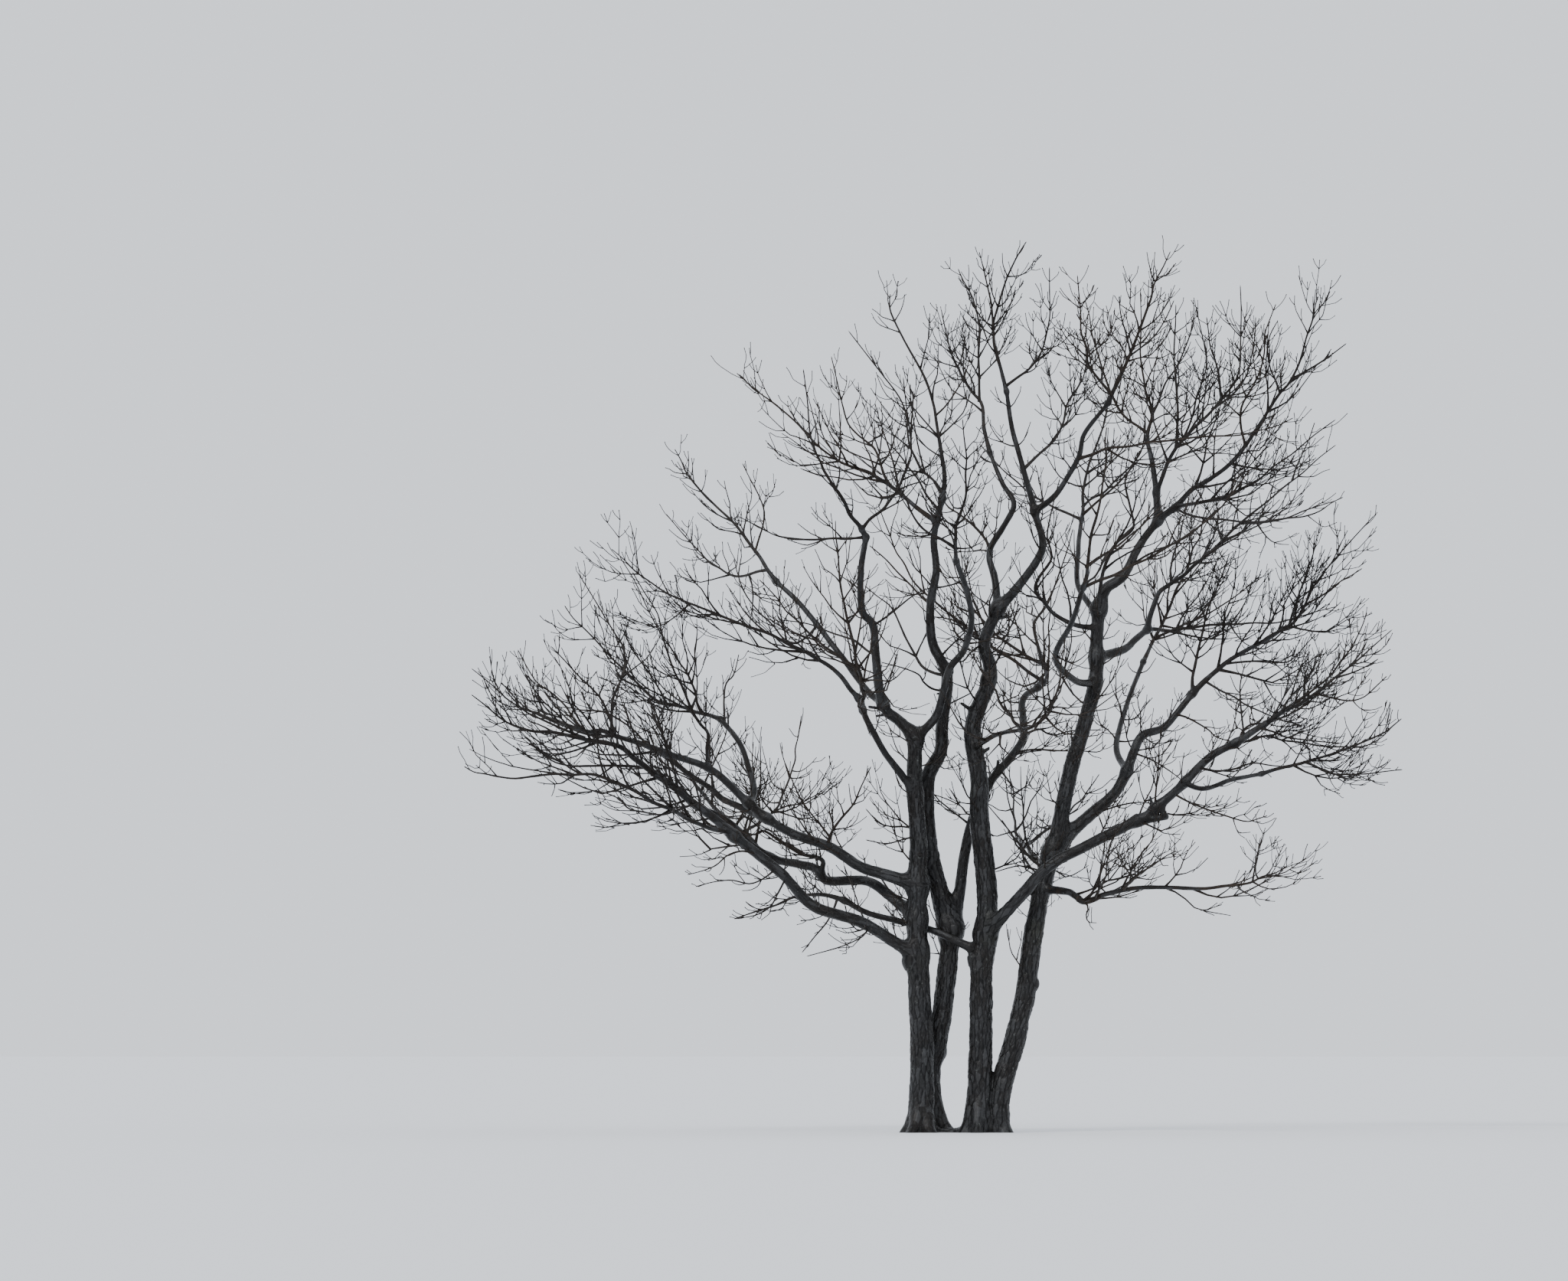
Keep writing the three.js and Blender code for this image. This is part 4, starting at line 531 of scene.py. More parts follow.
# Colours, and the studio
PLATE_BROWN = (0.0105, 0.0088, 0.0076)
PLATE_GREY = (0.0165, 0.0165, 0.0170)
PLATE_PALE = (0.060, 0.061, 0.063)
# near black painted shade in the bark's cracks
CRACK_SHADE = (0.0022, 0.0020, 0.0020)
MOSS = (0.019, 0.019, 0.009)
LICHEN = (0.085, 0.09, 0.085)
TWIG_COLOURS = {"dark": (0.0125, 0.0100, 0.0085), "brown": (0.018, 0.0135, 0.0105),
                "grey": (0.021, 0.018, 0.016)}
WEATHERED = 2.2  # how much paler a branch's weathered patches are
SHEEN = 0.16
FLOOR_COLOUR = (0.82, 0.83, 0.85)
FLOOR_RADIUS = 600.0
FLOOR_SIDES = 64
SKY_COLOUR = (0.80, 0.84, 0.90)
SKY_STRENGTH = 1.4
LAMP_STRENGTH = 1.5
LAMP_SPREAD = 12.0
LAMP_TURN = (48.0, 8.0, -35.0)

# Random numbers. The part's source has the same seeds, so its own shoots come back here.
SEED_RANGE = 2147483647
DRAW_STEP = 48271
CHILD_STEP = 16807
CHILD_SHIFT = 7919
SPRAY_SEEDS = (101, 13, 7)  # for each spray, for each of its stems, and in all
SIDE_BRANCH_SEEDS = (3001, 17)  # the first, and the step from one to the next
BOUGH_SEEDS = (5001, 23)
FRESH_SEEDS = (1, 2, 3)  # added for the finer shoots on a spray's stems, on shoots, and on those shoots
SCATTER_FACTORS = (127.1, 311.7, 74.7)
SCATTER_SCALE = 43758.5453
SECOND_DRAW = 57  # shifts that give a plate its second and third number
THIRD_DRAW = 5
rng = np.random.default_rng(20)

LENGTH_SAMPLES = 201
HEADING_STEP = 1e-4
UPRIGHT = 1e-3
LINES_BLOCK = 1500  # places that are measured at once, against all lines and against one wood
WOOD_BLOCK = 20000


def unit(vectors):
    return vectors / np.linalg.norm(vectors, axis=-1, keepdims=True)


def within(limits, share):
    return limits[0] + (limits[1] - limits[0]) * share


def smooth(low, high, value):
    share = np.clip((value - low) / (high - low), 0, 1)
    return share * share * (3 - 2 * share)


def on_curve(points, shares):
    """Places on many Catmull-Rom curves: points is (curves, points, 3) and shares is (curves, places)."""
    count = points.shape[1]
    before = 2 * points[:, :1] - points[:, 1:2]
    after = 2 * points[:, -1:] - points[:, -2:-1]
    padded = np.concatenate([before, points, after], axis=1)
    place = np.clip(shares, 0.0, 1.0) * (count - 1)
    first = np.minimum(place.astype(int), count - 2)
    part = (place - first)[..., None]
    row = np.arange(len(points))[:, None]
    p0, p1, p2, p3 = (padded[row, first + step] for step in range(4))
    leave = 0.5 * (p2 - p0)
    arrive = 0.5 * (p3 - p1)
    cubic = (2 * p1 - 2 * p2 + leave + arrive) * part ** 3
    square = (3 * p2 - 3 * p1 - 2 * leave - arrive) * part ** 2
    return cubic + square + leave * part + p1


def headings(points, shares):
    return unit(on_curve(points, shares + HEADING_STEP) - on_curve(points, shares - HEADING_STEP))


def lengths(points):
    shares = np.tile(np.linspace(0, 1, LENGTH_SAMPLES), (len(points), 1))
    return np.linalg.norm(np.diff(on_curve(points, shares), axis=1), axis=2).sum(axis=1)


def true_places(route):
    """Places as they look from the front, turned into the true places at their own depth."""
    route = np.array(route, float)
    reach = 1 + route[:, 1:2] / VIEW_DISTANCE
    x = route[:, :1] * reach
    z = EYE_HEIGHT + (route[:, 2:] - EYE_HEIGHT) * reach
    return np.hstack([x, route[:, 1:2], z])


class Limb:
    """A limb's centre line, with its radius falling evenly from thick to thin."""

    def __init__(self, name, parent, points, thick, thin, flare=0.0):
        self.name = name
        self.parent = parent
        self.points = np.array(points, float)
        self.last = len(points) - 1
        self.thick = thick
        self.thin = thin
        self.flare = flare

    def place(self, shares):
        return on_curve(self.points[None], np.atleast_1d(shares)[None].astype(float))[0]

    def at(self, point):
        return self.place(point / self.last)[0]

    def length(self):
        return lengths(self.points[None])[0]

    def radius(self, shares):
        height = np.maximum(self.place(shares)[:, 2], 0)
        return within((self.thick, self.thin), shares) + self.flare * np.exp(-height / FLARE_HEIGHT)

    def collar(self, shares):
        """How much the limb swells near its foot."""
        return COLLAR * np.exp(-shares * self.length() / (COLLAR_LENGTH * self.thick))

    def wandering(self):
        """The same limb, straying a little from its smooth course between its two ends."""
        steps = max(self.last, round(self.length() / LIMB_WANDER_STEP))
        points = self.place(np.linspace(0, 1, steps + 1))
        points[1:-1] += rng.normal(0, LIMB_WANDER, (steps - 1, 3))
        return Limb(self.name, self.parent, points, self.thick, self.thin, self.flare)


def branch(name, parent, place, thick, thin, route):
    """A limb that leaves its parent at a place on it."""
    points = np.vstack([limbs[parent].at(place), true_places(route)])
    return Limb(name, parent, points, thick, thin)


def draws(seeds, count):
    """The first numbers of each seed's stream, from 0 to 1."""
    state = seeds % (SEED_RANGE - 1) + 1
    numbers = []
    for _ in range(count + 1):
        state = state * DRAW_STEP % SEED_RANGE
        numbers.append(state / SEED_RANGE)
    return numbers[1:]


def child_seeds(seeds, k):
    return (seeds * CHILD_STEP + (k + 1) * CHILD_SHIFT) % SEED_RANGE


def as_parents(limb, seed, spray):
    """One limb in the form that grow() takes."""
    return {"points": limb.points[None], "length": np.array([limb.length()]), "seed": np.array([seed]),
            "thick": np.array([limb.thick]), "thin": np.array([limb.thin]), "spray": np.array([spray])}


def pick(shoots, mask):
    return {key: values[mask] for key, values in shoots.items()}


def joined(batches):
    return {key: np.concatenate([batch[key] for batch in batches]) for key in batches[0]}


def reseeded(shoots, shift):
    return {**shoots, "seed": shoots["seed"] + shift}


def grow(parents, rule):
    """The side shoots of many parents, one level down, in opposite pairs turned by the golden angle."""
    bare = rule["bare"]
    pairs = np.floor(parents["length"] * (1 - bare) / rule["spacing"]).astype(int) + 1
    parent = np.repeat(np.arange(len(pairs)), 2 * pairs)
    k = np.arange(len(parent)) - np.repeat(np.cumsum(2 * pairs) - 2 * pairs, 2 * pairs)
    share = bare + (1 - bare) * (k // 2 + 0.5) / pairs[parent]
    first_roll = draws(parents["seed"], 1)[0] * 2 * math.pi
    roll = first_roll[parent] + (k // 2) * GOLDEN_ANGLE + (k % 2) * math.pi
    seed = child_seeds(parents["seed"][parent], k)
    angle_draw, length_draw, lift_draw = draws(seed, 3)

    points = parents["points"][parent]
    start = on_curve(points, share[:, None])[:, 0]
    ahead = headings(points, share[:, None])[:, 0]
    across = np.stack([ahead[:, 1], -ahead[:, 0], np.zeros(len(ahead))], axis=1)
    across[np.linalg.norm(across, axis=1) < UPRIGHT] = (1, 0, 0)
    across = unit(across)
    over = np.cross(across, ahead)
    rise = np.sin(roll) * np.where(np.sin(roll) < 0, UNDERSIDE, 1)
    side = unit(across * np.cos(roll)[:, None] + over * rise[:, None])

    angle = rule["angle"] * within(ANGLE_SPREAD, angle_draw)
    by_rule = rule["share"] * parents["length"][parent] * (1 - rule.get("shorter", SHORTER_AHEAD) * share)
    length = np.minimum(by_rule, rule["longest"]) * within(LENGTH_SPREAD, length_draw)
    heading = ahead * np.cos(angle)[:, None] + side * np.sin(angle)[:, None]
    turned = heading + ahead * FOLLOW
    turned[:, 2] += rule["lift"] * within(LIFT_SPREAD, lift_draw)
    middle = start + heading * length[:, None] / 2
    end = middle + unit(turned) * length[:, None] / 2
    parent_radius = within((parents["thick"][parent], parents["thin"][parent]), share)
    thick = np.minimum(np.maximum(within(SHOOT_FOOT, length), TWIG_THINNEST), parent_radius * SHOOT_SHARE)
    shoots = {"points": np.stack([start, middle, end], axis=1), "length": length, "seed": seed,
              "thick": np.maximum(thick, TWIG_TIP), "thin": np.full(len(length), TWIG_TIP),
              "spray": parents["spray"][parent]}
    return pick(shoots, length >= rule["shortest"])


def lines_of(groups):
    """The straight stretches of several groups of limbs: starts, spans, and where each group begins."""
    starts, spans, firsts = [], [], []
    count = 0
    for group in groups:
        firsts.append(count)
        for limb in group:
            places = limb.place(np.linspace(0, 1, 2 * limb.last + 1))
            starts.append(places[:-1])
            spans.append(np.diff(places, axis=0))
            count += len(places) - 1
    return np.concatenate(starts), np.concatenate(spans), firsts


def from_lines(places, starts, spans):
    """For each place and line: where on the line, from 0 to 1, it is nearest, and the way from there."""
    out = places[:, None] - starts
    share = np.clip((out * spans).sum(-1) / (spans * spans).sum(-1), 0, 1)
    return share, out - share[..., None] * spans


def gaps(places, lines):
    """The distance from each place to each group of lines."""
    starts, spans, firsts = lines
    found = []
    for block in np.array_split(places, len(places) // LINES_BLOCK + 1):
        gap = np.linalg.norm(from_lines(block, starts, spans)[1], axis=-1)
        found.append(np.minimum.reduceat(gap, firsts, axis=1))
    return np.concatenate(found)


def in_sky(places):
    """Whether places show against the open sky gaps, seen from the front."""
    reach = 1 + places[:, 1] / VIEW_DISTANCE
    x = places[:, 0] / reach
    z = EYE_HEIGHT + (places[:, 2] - EYE_HEIGHT) / reach
    return np.any([(x > left) & (x < right) & (z > bottom) & (z < top)
                   for left, right, bottom, top in SKY_GAPS], axis=0)


def keeps_to_space(shoots, strict):
    """Whether each shoot stays clear of the limbs and, where strict, in its own spray's space."""
    samples = np.tile(OWN_TESTS if strict else FINE_TESTS, (len(shoots["length"]), 1))
    places = on_curve(shoots["points"], samples).reshape(-1, 3)
    room = limb_thick + LIMB_GAP if strict else limb_thick * FINE_ROOM
    fine = (places[:, 2] >= LOWEST_TWIG) & (gaps(places, limb_lines) > room).all(axis=1)
    fine &= (places > np.array(cad_low)).all(axis=1) & (places < np.array(cad_high)).all(axis=1)
    if strict:
        rows = np.arange(len(places))
        own = np.repeat(shoots["spray"], samples.shape[1])
        to_sprays = gaps(places, spray_lines)
        near = to_sprays[rows, own]
        to_sprays[rows, own] = np.inf
        fine &= to_sprays.min(axis=1) > near + OWN_SPACE
    else:
        fine &= ~in_sky(places)
    return fine.reshape(samples.shape).all(axis=1)


def strays(shoots):
    """The shoots with their courses bent a little at random, as twigs are from bud to bud."""
    shares = np.tile(np.linspace(0, 1, SHOOT_BENDS + 2), (len(shoots["length"]), 1))
    points = on_curve(shoots["points"], shares)
    bends = rng.normal(0, WANDER, (len(points), SHOOT_BENDS, 3))
    points[:, 1:-1] += bends * shoots["length"][:, None, None]
    return {**shoots, "points": points}


def source_shoots(parents, rule):
    """The part's own shoots, straying a little from their course."""
    shoots = grow(parents, rule)
    return strays(pick(shoots, keeps_to_space(shoots, strict=True)))


def fill(parents, rule):
    """The finer shoots of many parents: fewer in the shade, and none in a limb or against open sky."""
    shoots = grow(parents, rule)
    out = (shoots["points"][:, 0][:, (0, 2)] - np.array(SHADE_MIDDLE)) / np.array(SHADE_REACH)
    kept = within(KEPT, np.clip(np.linalg.norm(out, axis=1), 0, 1)) * carrier_kept[shoots["spray"]]
    shoots = pick(shoots, rng.random(len(kept)) < kept)
    return strays(pick(shoots, keeps_to_space(shoots, strict=False)))


limbs = {}
for name, thick, thin, flare, *route in STEMS:
    limbs[name] = Limb(name, "", true_places(route), thick, thin, flare)
for name, parent, place, thick, thin, *route in BOUGHS:
    limbs[name] = branch(name, parent, place, thick, thin, route)
boughs_and_stems = list(limbs.values())
limb_lines = lines_of([[limb] for limb in boughs_and_stems])
limb_thick = np.array([limb.thick for limb in boughs_and_stems])

# Each spray's stems, as the part has them, and the lines that mark its space
sprays = []
for name, parent, place, thick, *route in SPRAYS:
    limbs[name] = branch(name, parent, place, thick, SPRAY_TIP, route)
    sprays.append([limbs[name]] + [branch(f"{name}_fork", name, at, radius, SPRAY_TIP, fork)
                                   for spray, at, radius, *fork in FORKS if spray == name])
spray_lines = lines_of(sprays)
for name, factor in THICKER.items():
    limbs[name].thick *= factor

# Each limb that carries shoots, with the number by which they are dealt to pieces and tones, and its seed
carriers = []
firsts, seconds = [], []
for number, spray in enumerate(sprays):
    for which, course in enumerate(spray):
        stem = course.wandering()
        seed = child_seeds(number * SPRAY_SEEDS[0] + which * SPRAY_SEEDS[1] + SPRAY_SEEDS[2], 0)
        firsts.append(source_shoots(as_parents(stem, seed, number), SOURCE_RULES[0]))
        seconds.append(source_shoots(firsts[-1], SOURCE_RULES[1]))
        stem.thin = SPRAY_TIP_DRAWN
        carriers.append((stem, number, seed + FRESH_SEEDS[0]))
for row, (parent, place, thick, _, *route) in enumerate(SIDE_BRANCHES):
    limb = branch(f"side_branch_{row}", parent, place, thick, SPRAY_TIP_DRAWN, route).wandering()
    carriers.append((limb, len(sprays) + row, SIDE_BRANCH_SEEDS[0] + SIDE_BRANCH_SEEDS[1] * row))
branches = list(carriers)
for row, limb in enumerate(boughs_and_stems):
    carriers.append((limb, len(sprays) + len(SIDE_BRANCHES) + row, BOUGH_SEEDS[0] + BOUGH_SEEDS[1] * row))
carrier_kept = np.array([SPARSE.get(spray[0].name, 1) for spray in sprays]
                        + [kept for _, _, _, kept, *_ in SIDE_BRANCHES]
                        + [SPARSE.get(limb.name, 1) for limb in boughs_and_stems])

# The finer shoots, three levels deep
for limb, number, seed in carriers:
    rule = FILL_BOUGHS if limb in boughs_and_stems else FILL_STEMS
    firsts.append(fill(as_parents(limb, seed, number), rule))
firsts = joined(firsts)
seconds = joined(seconds + [fill(reseeded(firsts, FRESH_SEEDS[1]), FILL_SHOOTS)])
thirds = fill(reseeded(seconds, FRESH_SEEDS[2]), FINEST)


# Meshes
def directions_across(places):
    """Two directions across each curve at each of its places, carried along it without twist."""
    ahead = unit(np.gradient(places, axis=1))
    side = np.cross(ahead[:, 0], FIRST_SIDE)
    u = np.empty_like(places)
    for k in range(places.shape[1]):
        side = unit(side - ahead[:, k] * (side * ahead[:, k]).sum(-1, keepdims=True))
        u[:, k] = side
    return u, np.cross(ahead, u)


def tubes(places, radii, sides):
    """Closed tubes along curves, each ending in a point: their corners, and their faces in three kinds."""
    count, rings = places.shape[0], places.shape[1] - 1
    u, v = directions_across(places)
    turn = np.arange(sides) * 2 * math.pi / sides
    out = u[:, :-1, None] * np.cos(turn)[:, None] + v[:, :-1, None] * np.sin(turn)[:, None]
    round_corners = places[:, :-1, None] + out * radii[:, :-1, None, None]
    corners = np.concatenate([round_corners.reshape(count, -1, 3), places[:, -1:]], axis=1)
    start = (np.arange(count) * (rings * sides + 1))[:, None, None]
    ring = np.arange(rings)[None, :, None] * sides
    here = np.arange(sides)[None, None]
    following = (here + 1) % sides
    low, low_next = start + ring + here, start + ring + following
    walls = np.stack([low, low_next, low_next + sides, low + sides], axis=-1)[:, :-1]
    tip = np.broadcast_to(start + rings * sides, low[:, -1:].shape)
    points = np.stack([low[:, -1:], low_next[:, -1:], tip], axis=-1)
    caps = start[:, 0] + np.arange(sides)[::-1]
    return corners.reshape(-1, 3), [walls.reshape(-1, 4), points.reshape(-1, 3), caps]


def new_mesh(name, corners, faces, tones=None):
    """A mesh from an array of corners and a list of arrays of faces."""
    mesh = bpy.data.meshes.new(name)
    sizes = np.concatenate([np.full(len(some), some.shape[1]) for some in faces])
    loops = np.concatenate([some.ravel() for some in faces])
    mesh.vertices.add(len(corners))
    mesh.vertices.foreach_set("co", np.ascontiguousarray(corners, np.float32).ravel())
    mesh.loops.add(len(loops))
    mesh.loops.foreach_set("vertex_index", loops.astype(np.int32))
    mesh.polygons.add(len(sizes))
    mesh.polygons.foreach_set("loop_start", (np.cumsum(sizes) - sizes).astype(np.int32))
    mesh.polygons.foreach_set("use_smooth", np.ones(len(sizes), bool))
    if tones is not None:
        mesh.polygons.foreach_set("material_index", np.concatenate(tones).astype(np.int32))
    mesh.update(calc_edges=True)
    return mesh


def new_object(name, data):
    made = bpy.data.objects.new(name, data)
    bpy.context.scene.collection.objects.link(made)
    return made


def new_piece(name, mesh, materials):
    piece = new_object(name, mesh)
    for material in materials:
        mesh.materials.append(material)
    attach(piece, "root")
    return piece


class Bundle:
    """Closed tubes of one kind, gathered into one mesh, each in its own tone."""

    def __init__(self):
        self.corners, self.faces, self.tones, self.count = [], [], [], 0

    def add(self, places, radii, sides, tone=0):
        corners, faces = tubes(places, radii, sides)
        for some in faces:
            self.faces.append(some + self.count)
            self.tones.append(np.repeat(tone, len(some) // len(places)))
        self.corners.append(corners)
        self.count += len(corners)

    def piece(self, name, materials):
        mesh = new_mesh(name, np.concatenate(self.corners), self.faces, self.tones)
        return new_piece(name, mesh, materials)


def add_shoots(bundle, shoots, sides, middle_rings):
    """Shoots as tubes that narrow evenly, each with a small bud at its end."""
    length = shoots["length"][:, None]
    bud = np.minimum(BUD_LENGTH / length, BUD_LIMIT)
    along = np.linspace(0, 1, middle_rings + 1)[None] * (1 - bud)
    shares = np.concatenate([along, 1 - bud / 2, np.ones_like(bud)], axis=1)
    radii = within((shoots["thick"][:, None], shoots["thin"][:, None]), shares)
    radii[:, :1] *= 1 + COLLAR
    radii[:, -2] = BUD_RADIUS
    bundle.add(on_curve(shoots["points"], shares), radii, sides, shoots["spray"] % TONES)


def add_branch(bundle, limb, number):
    """A spray's stem or side branch, with a swollen foot, slight knots and a bud at its end."""
    length = limb.length()
    rings = max(BRANCH_RINGS, round(length / BRANCH_RING))
    shares = np.append(np.linspace(0, 1 - BUD_LENGTH / length, rings), 1)
    radii = limb.radius(shares)
    radii *= 1 + limb.collar(shares) + rng.normal(0, KNOTS, len(radii))
    bundle.add(limb.place(shares)[None], radii[None], BRANCH_SIDES, np.array([number % TONES]))


def side_of(place):
    """The side of the crown that a place lies on."""
    return "left" if place[0] < LEFT_SIDE else "right" if place[0] > RIGHT_SIDE else "middle"


# Bark. Every limb is a chain of short round stretches, and the bark is one skin around each pair of stems.
class Wood:
    """A limb as the bark sees it."""

    def __init__(self, name, parent, places, radii):
        self.name, self.parent = name, parent
        self.places, self.radii = places, radii
        u, v = directions_across(places[None])
        self.u, self.v = u[0], v[0]
        self.arc = np.concatenate([[0], np.cumsum(np.linalg.norm(np.diff(places, axis=0), axis=1))])
        reach = radii.max() + WOOD_MARGIN
        self.low, self.high = places.min(axis=0) - reach, places.max(axis=0) + reach
        girth = 2 * math.pi * float(np.median(radii))
        self.plates = max(FEWEST_PLATES, round(girth / PLATE_WIDTH))
        self.plate_width = girth / self.plates

    def measure(self, places):
        """The gap from each place to the surface, the way out, the radius, and how far along and round."""
        share, away = from_lines(places, self.places[:-1], np.diff(self.places, axis=0))
        radius = self.radii[:-1] + share * np.diff(self.radii)
        gap = np.linalg.norm(away, axis=-1) - radius
        best = gap.argmin(axis=1)
        rows = np.arange(len(places))
        share, away = share[rows, best][:, None], away[rows, best]
        u = self.u[best] * (1 - share) + self.u[best + 1] * share
        v = self.v[best] * (1 - share) + self.v[best + 1] * share
        turn = np.arctan2((away * v).sum(-1), (away * u).sum(-1))
        along = self.arc[best] + share[:, 0] * np.diff(self.arc)[best]
        way = away / np.maximum(np.linalg.norm(away, axis=1, keepdims=True), 1e-6)
        return gap[rows, best], way, radius[rows, best], along, turn


def lumps(places, strength, size, seed):
    """A number that wavers smoothly over space, up to its strength, in waves of about the given size."""
    ways = np.random.default_rng(seed)
    total = np.zeros(len(places))
    for _ in range(WAVES):
        way = unit(ways.normal(size=3)) * 2 * math.pi / (size * ways.uniform(*WAVE_SPREAD))
        total += np.sin(places @ way + ways.uniform(0, 2 * math.pi))
    return strength * (total / WAVES)


def wood_of(limb, until=1.0, dive=False):
    """A limb's wood: it strays a little from its course, and has a collar where it leaves its parent.
    Where it dives, its end narrows into a thinner tube."""
    steps = max(WOOD_STEPS, round(limb.length() * until / WOOD_STEP))
    shares = np.linspace(0, until, steps + 1)
    radii = limb.radius(shares)
    if limb.parent:
        radii = radii * (1 + limb.collar(shares))
    places = limb.place(shares)
    if dive:
        radii[-2:] *= DIVE
        return Wood(limb.name, limb.parent, places, radii)
    crook = min(CROOK_SHARE * limb.thick, CROOK_LIMIT) * np.sin(np.linspace(0, math.pi, steps + 1))
    stray = np.stack([lumps(places, 1, CROOK_LENGTH, seed) for seed in CROOK_SEEDS], axis=1) * crook[:, None]
    return Wood(limb.name, limb.parent, places + stray, radii)


def buttress_wood(name, bearing, reach):
    stem, angle = limbs[name], math.radians(bearing)
    top = stem.place(BUTTRESS_HEIGHT / stem.at(stem.last)[2])[0]
    toe = stem.at(0) + (math.cos(angle) * reach, math.sin(angle) * reach, 0)
    toe[2] = -BUTTRESS_TOE
    knee = top + (toe - top) * BUTTRESS_KNEE
    knee[2] *= BUTTRESS_DROP
    root = Limb("buttress", name, (top, knee, toe), BUTTRESS_RADIUS * BUTTRESS_TOP, BUTTRESS_RADIUS)
    shares = np.linspace(0, 1, BUTTRESS_RINGS)
    return Wood(root.name, name, root.place(shares), root.radius(shares))


def stub_wood(name, point, way, radius):
    places = limbs[name].at(point) + np.linspace(0, 1, len(STUB_RADII))[:, None] * np.array(way)
    return Wood("stub", name, places, radius * np.array(STUB_RADII))


def burl_wood(name, point, way, radius):
    limb = limbs[name]
    share = point / limb.last
    out = limb.radius(np.array([share]))[0] - BURL_SUNK * radius
    middle = limb.at(point) + unit(np.array(way, float)) * out
    ahead = headings(limb.points[None], np.array([[share]]))[0, 0]
    places = middle + np.linspace(-BURL_HALF, BURL_HALF, len(BURL_RADII))[:, None] * radius * ahead
    return Wood("burl", name, places, radius * np.array(BURL_RADII))


def find(places, woods):
    """The gap, way, radius and number of each place's two nearest woods, and its own place on the nearest."""
    count = len(places)
    gap = np.full((2, count), FAR)
    way = np.zeros((2, count, 3))
    radius = np.full((2, count), NO_RADIUS)
    which = np.zeros((2, count), int)
    along, turn = np.zeros(count), np.zeros(count)
    for number, wood in enumerate(woods):
        near = np.flatnonzero(((places > wood.low) & (places < wood.high)).all(axis=1))
        for some in np.array_split(near, len(near) // WOOD_BLOCK + 1):
            if not len(some):
                continue
            *measures, far_along, far_round = wood.measure(places[some])
            first = measures[0] < gap[0, some]
            second = ~first & (measures[0] < gap[1, some])
            nearest, next_nearest = some[first], some[second]
            for kept, found in zip((gap, way, radius), measures):
                kept[1, nearest] = kept[0, nearest]
                kept[0, nearest] = found[first]
                kept[1, next_nearest] = found[second]
            which[1, nearest] = which[0, nearest]
            which[0, nearest] = number
            which[1, next_nearest] = number
            along[nearest], turn[nearest] = far_along[first], far_round[first]
    return gap, way, radius, which, along, turn


def settle(places, woods):
    """Moves places onto the woods' common surface, with a fillet where a limb leaves its parent."""
    names = [(wood.name, wood.parent) for wood in woods]
    kin = np.array([[a == q or b == p or (p == q and p != "") or a == b for b, q in names] for a, p in names])
    for _ in range(SETTLE_STEPS):
        gap, way, radius, which, along, turn = find(places, woods)
        size = np.clip(FILLET * radius.min(axis=0), *FILLET_LIMITS)
        size = np.where(kin[which[0], which[1]], size, NO_FILLET)
        blend = np.clip(1 - (gap[1] - gap[0]) / size, 0, 1)
        value = gap[0] - blend ** 2 * size / 4
        slope = (1 - blend / 2)[:, None] * way[0] + (blend / 2)[:, None] * way[1]
        steep = np.maximum((slope ** 2).sum(axis=1), SETTLE_SLOPE)
        places = places - (np.clip(value, -SETTLE_LIMIT, SETTLE_LIMIT) / steep)[:, None] * slope
    return places, unit(slope), radius[0], which[0], along, turn, blend


def scatter(*numbers):
    """A repeatable number from 0 to 1 for each set of whole numbers."""
    mixed = sum(number * factor for number, factor in zip(numbers, SCATTER_FACTORS))
    return np.modf(np.abs(np.sin(mixed) * SCATTER_SCALE))[0]


def plates(column, row, around, seed):
    """Bark plates as cells round a limb. For each place: how far off the nearest crack is, how much it runs
    along the limb, from 0 to 1, and the plate's own number."""
    nearest = np.full((2, len(column)), FAR)
    centres = np.zeros((2, 2, len(column)))
    own = np.zeros(len(column))
    for step_row in (-1, 0, 1):
        for step_column in (-1, 0, 1):
            c = np.floor(column) + step_column
            r = np.floor(row) + step_row
            wrapped = np.mod(c, around)
            centre = np.stack([c + 0.5 + PLATE_JITTER * (scatter(wrapped, r, seed) - 0.5),
                               r + 0.5 + PLATE_JITTER * (scatter(wrapped + SECOND_DRAW, r, seed) - 0.5)])
            gap = np.hypot(centre[0] - column, centre[1] - row)
            first = gap < nearest[0]
            second = ~first & (gap < nearest[1])
            nearest[1] = np.where(first, nearest[0], np.where(second, gap, nearest[1]))
            centres[1] = np.where(first, centres[0], np.where(second, centre, centres[1]))
            nearest[0] = np.where(first, gap, nearest[0])
            centres[0] = np.where(first, centre, centres[0])
            own = np.where(first, scatter(wrapped, r, seed + THIRD_DRAW), own)
    apart = np.abs(centres[0] - centres[1])
    return nearest[1] - nearest[0], apart[0] / np.hypot(*apart), own


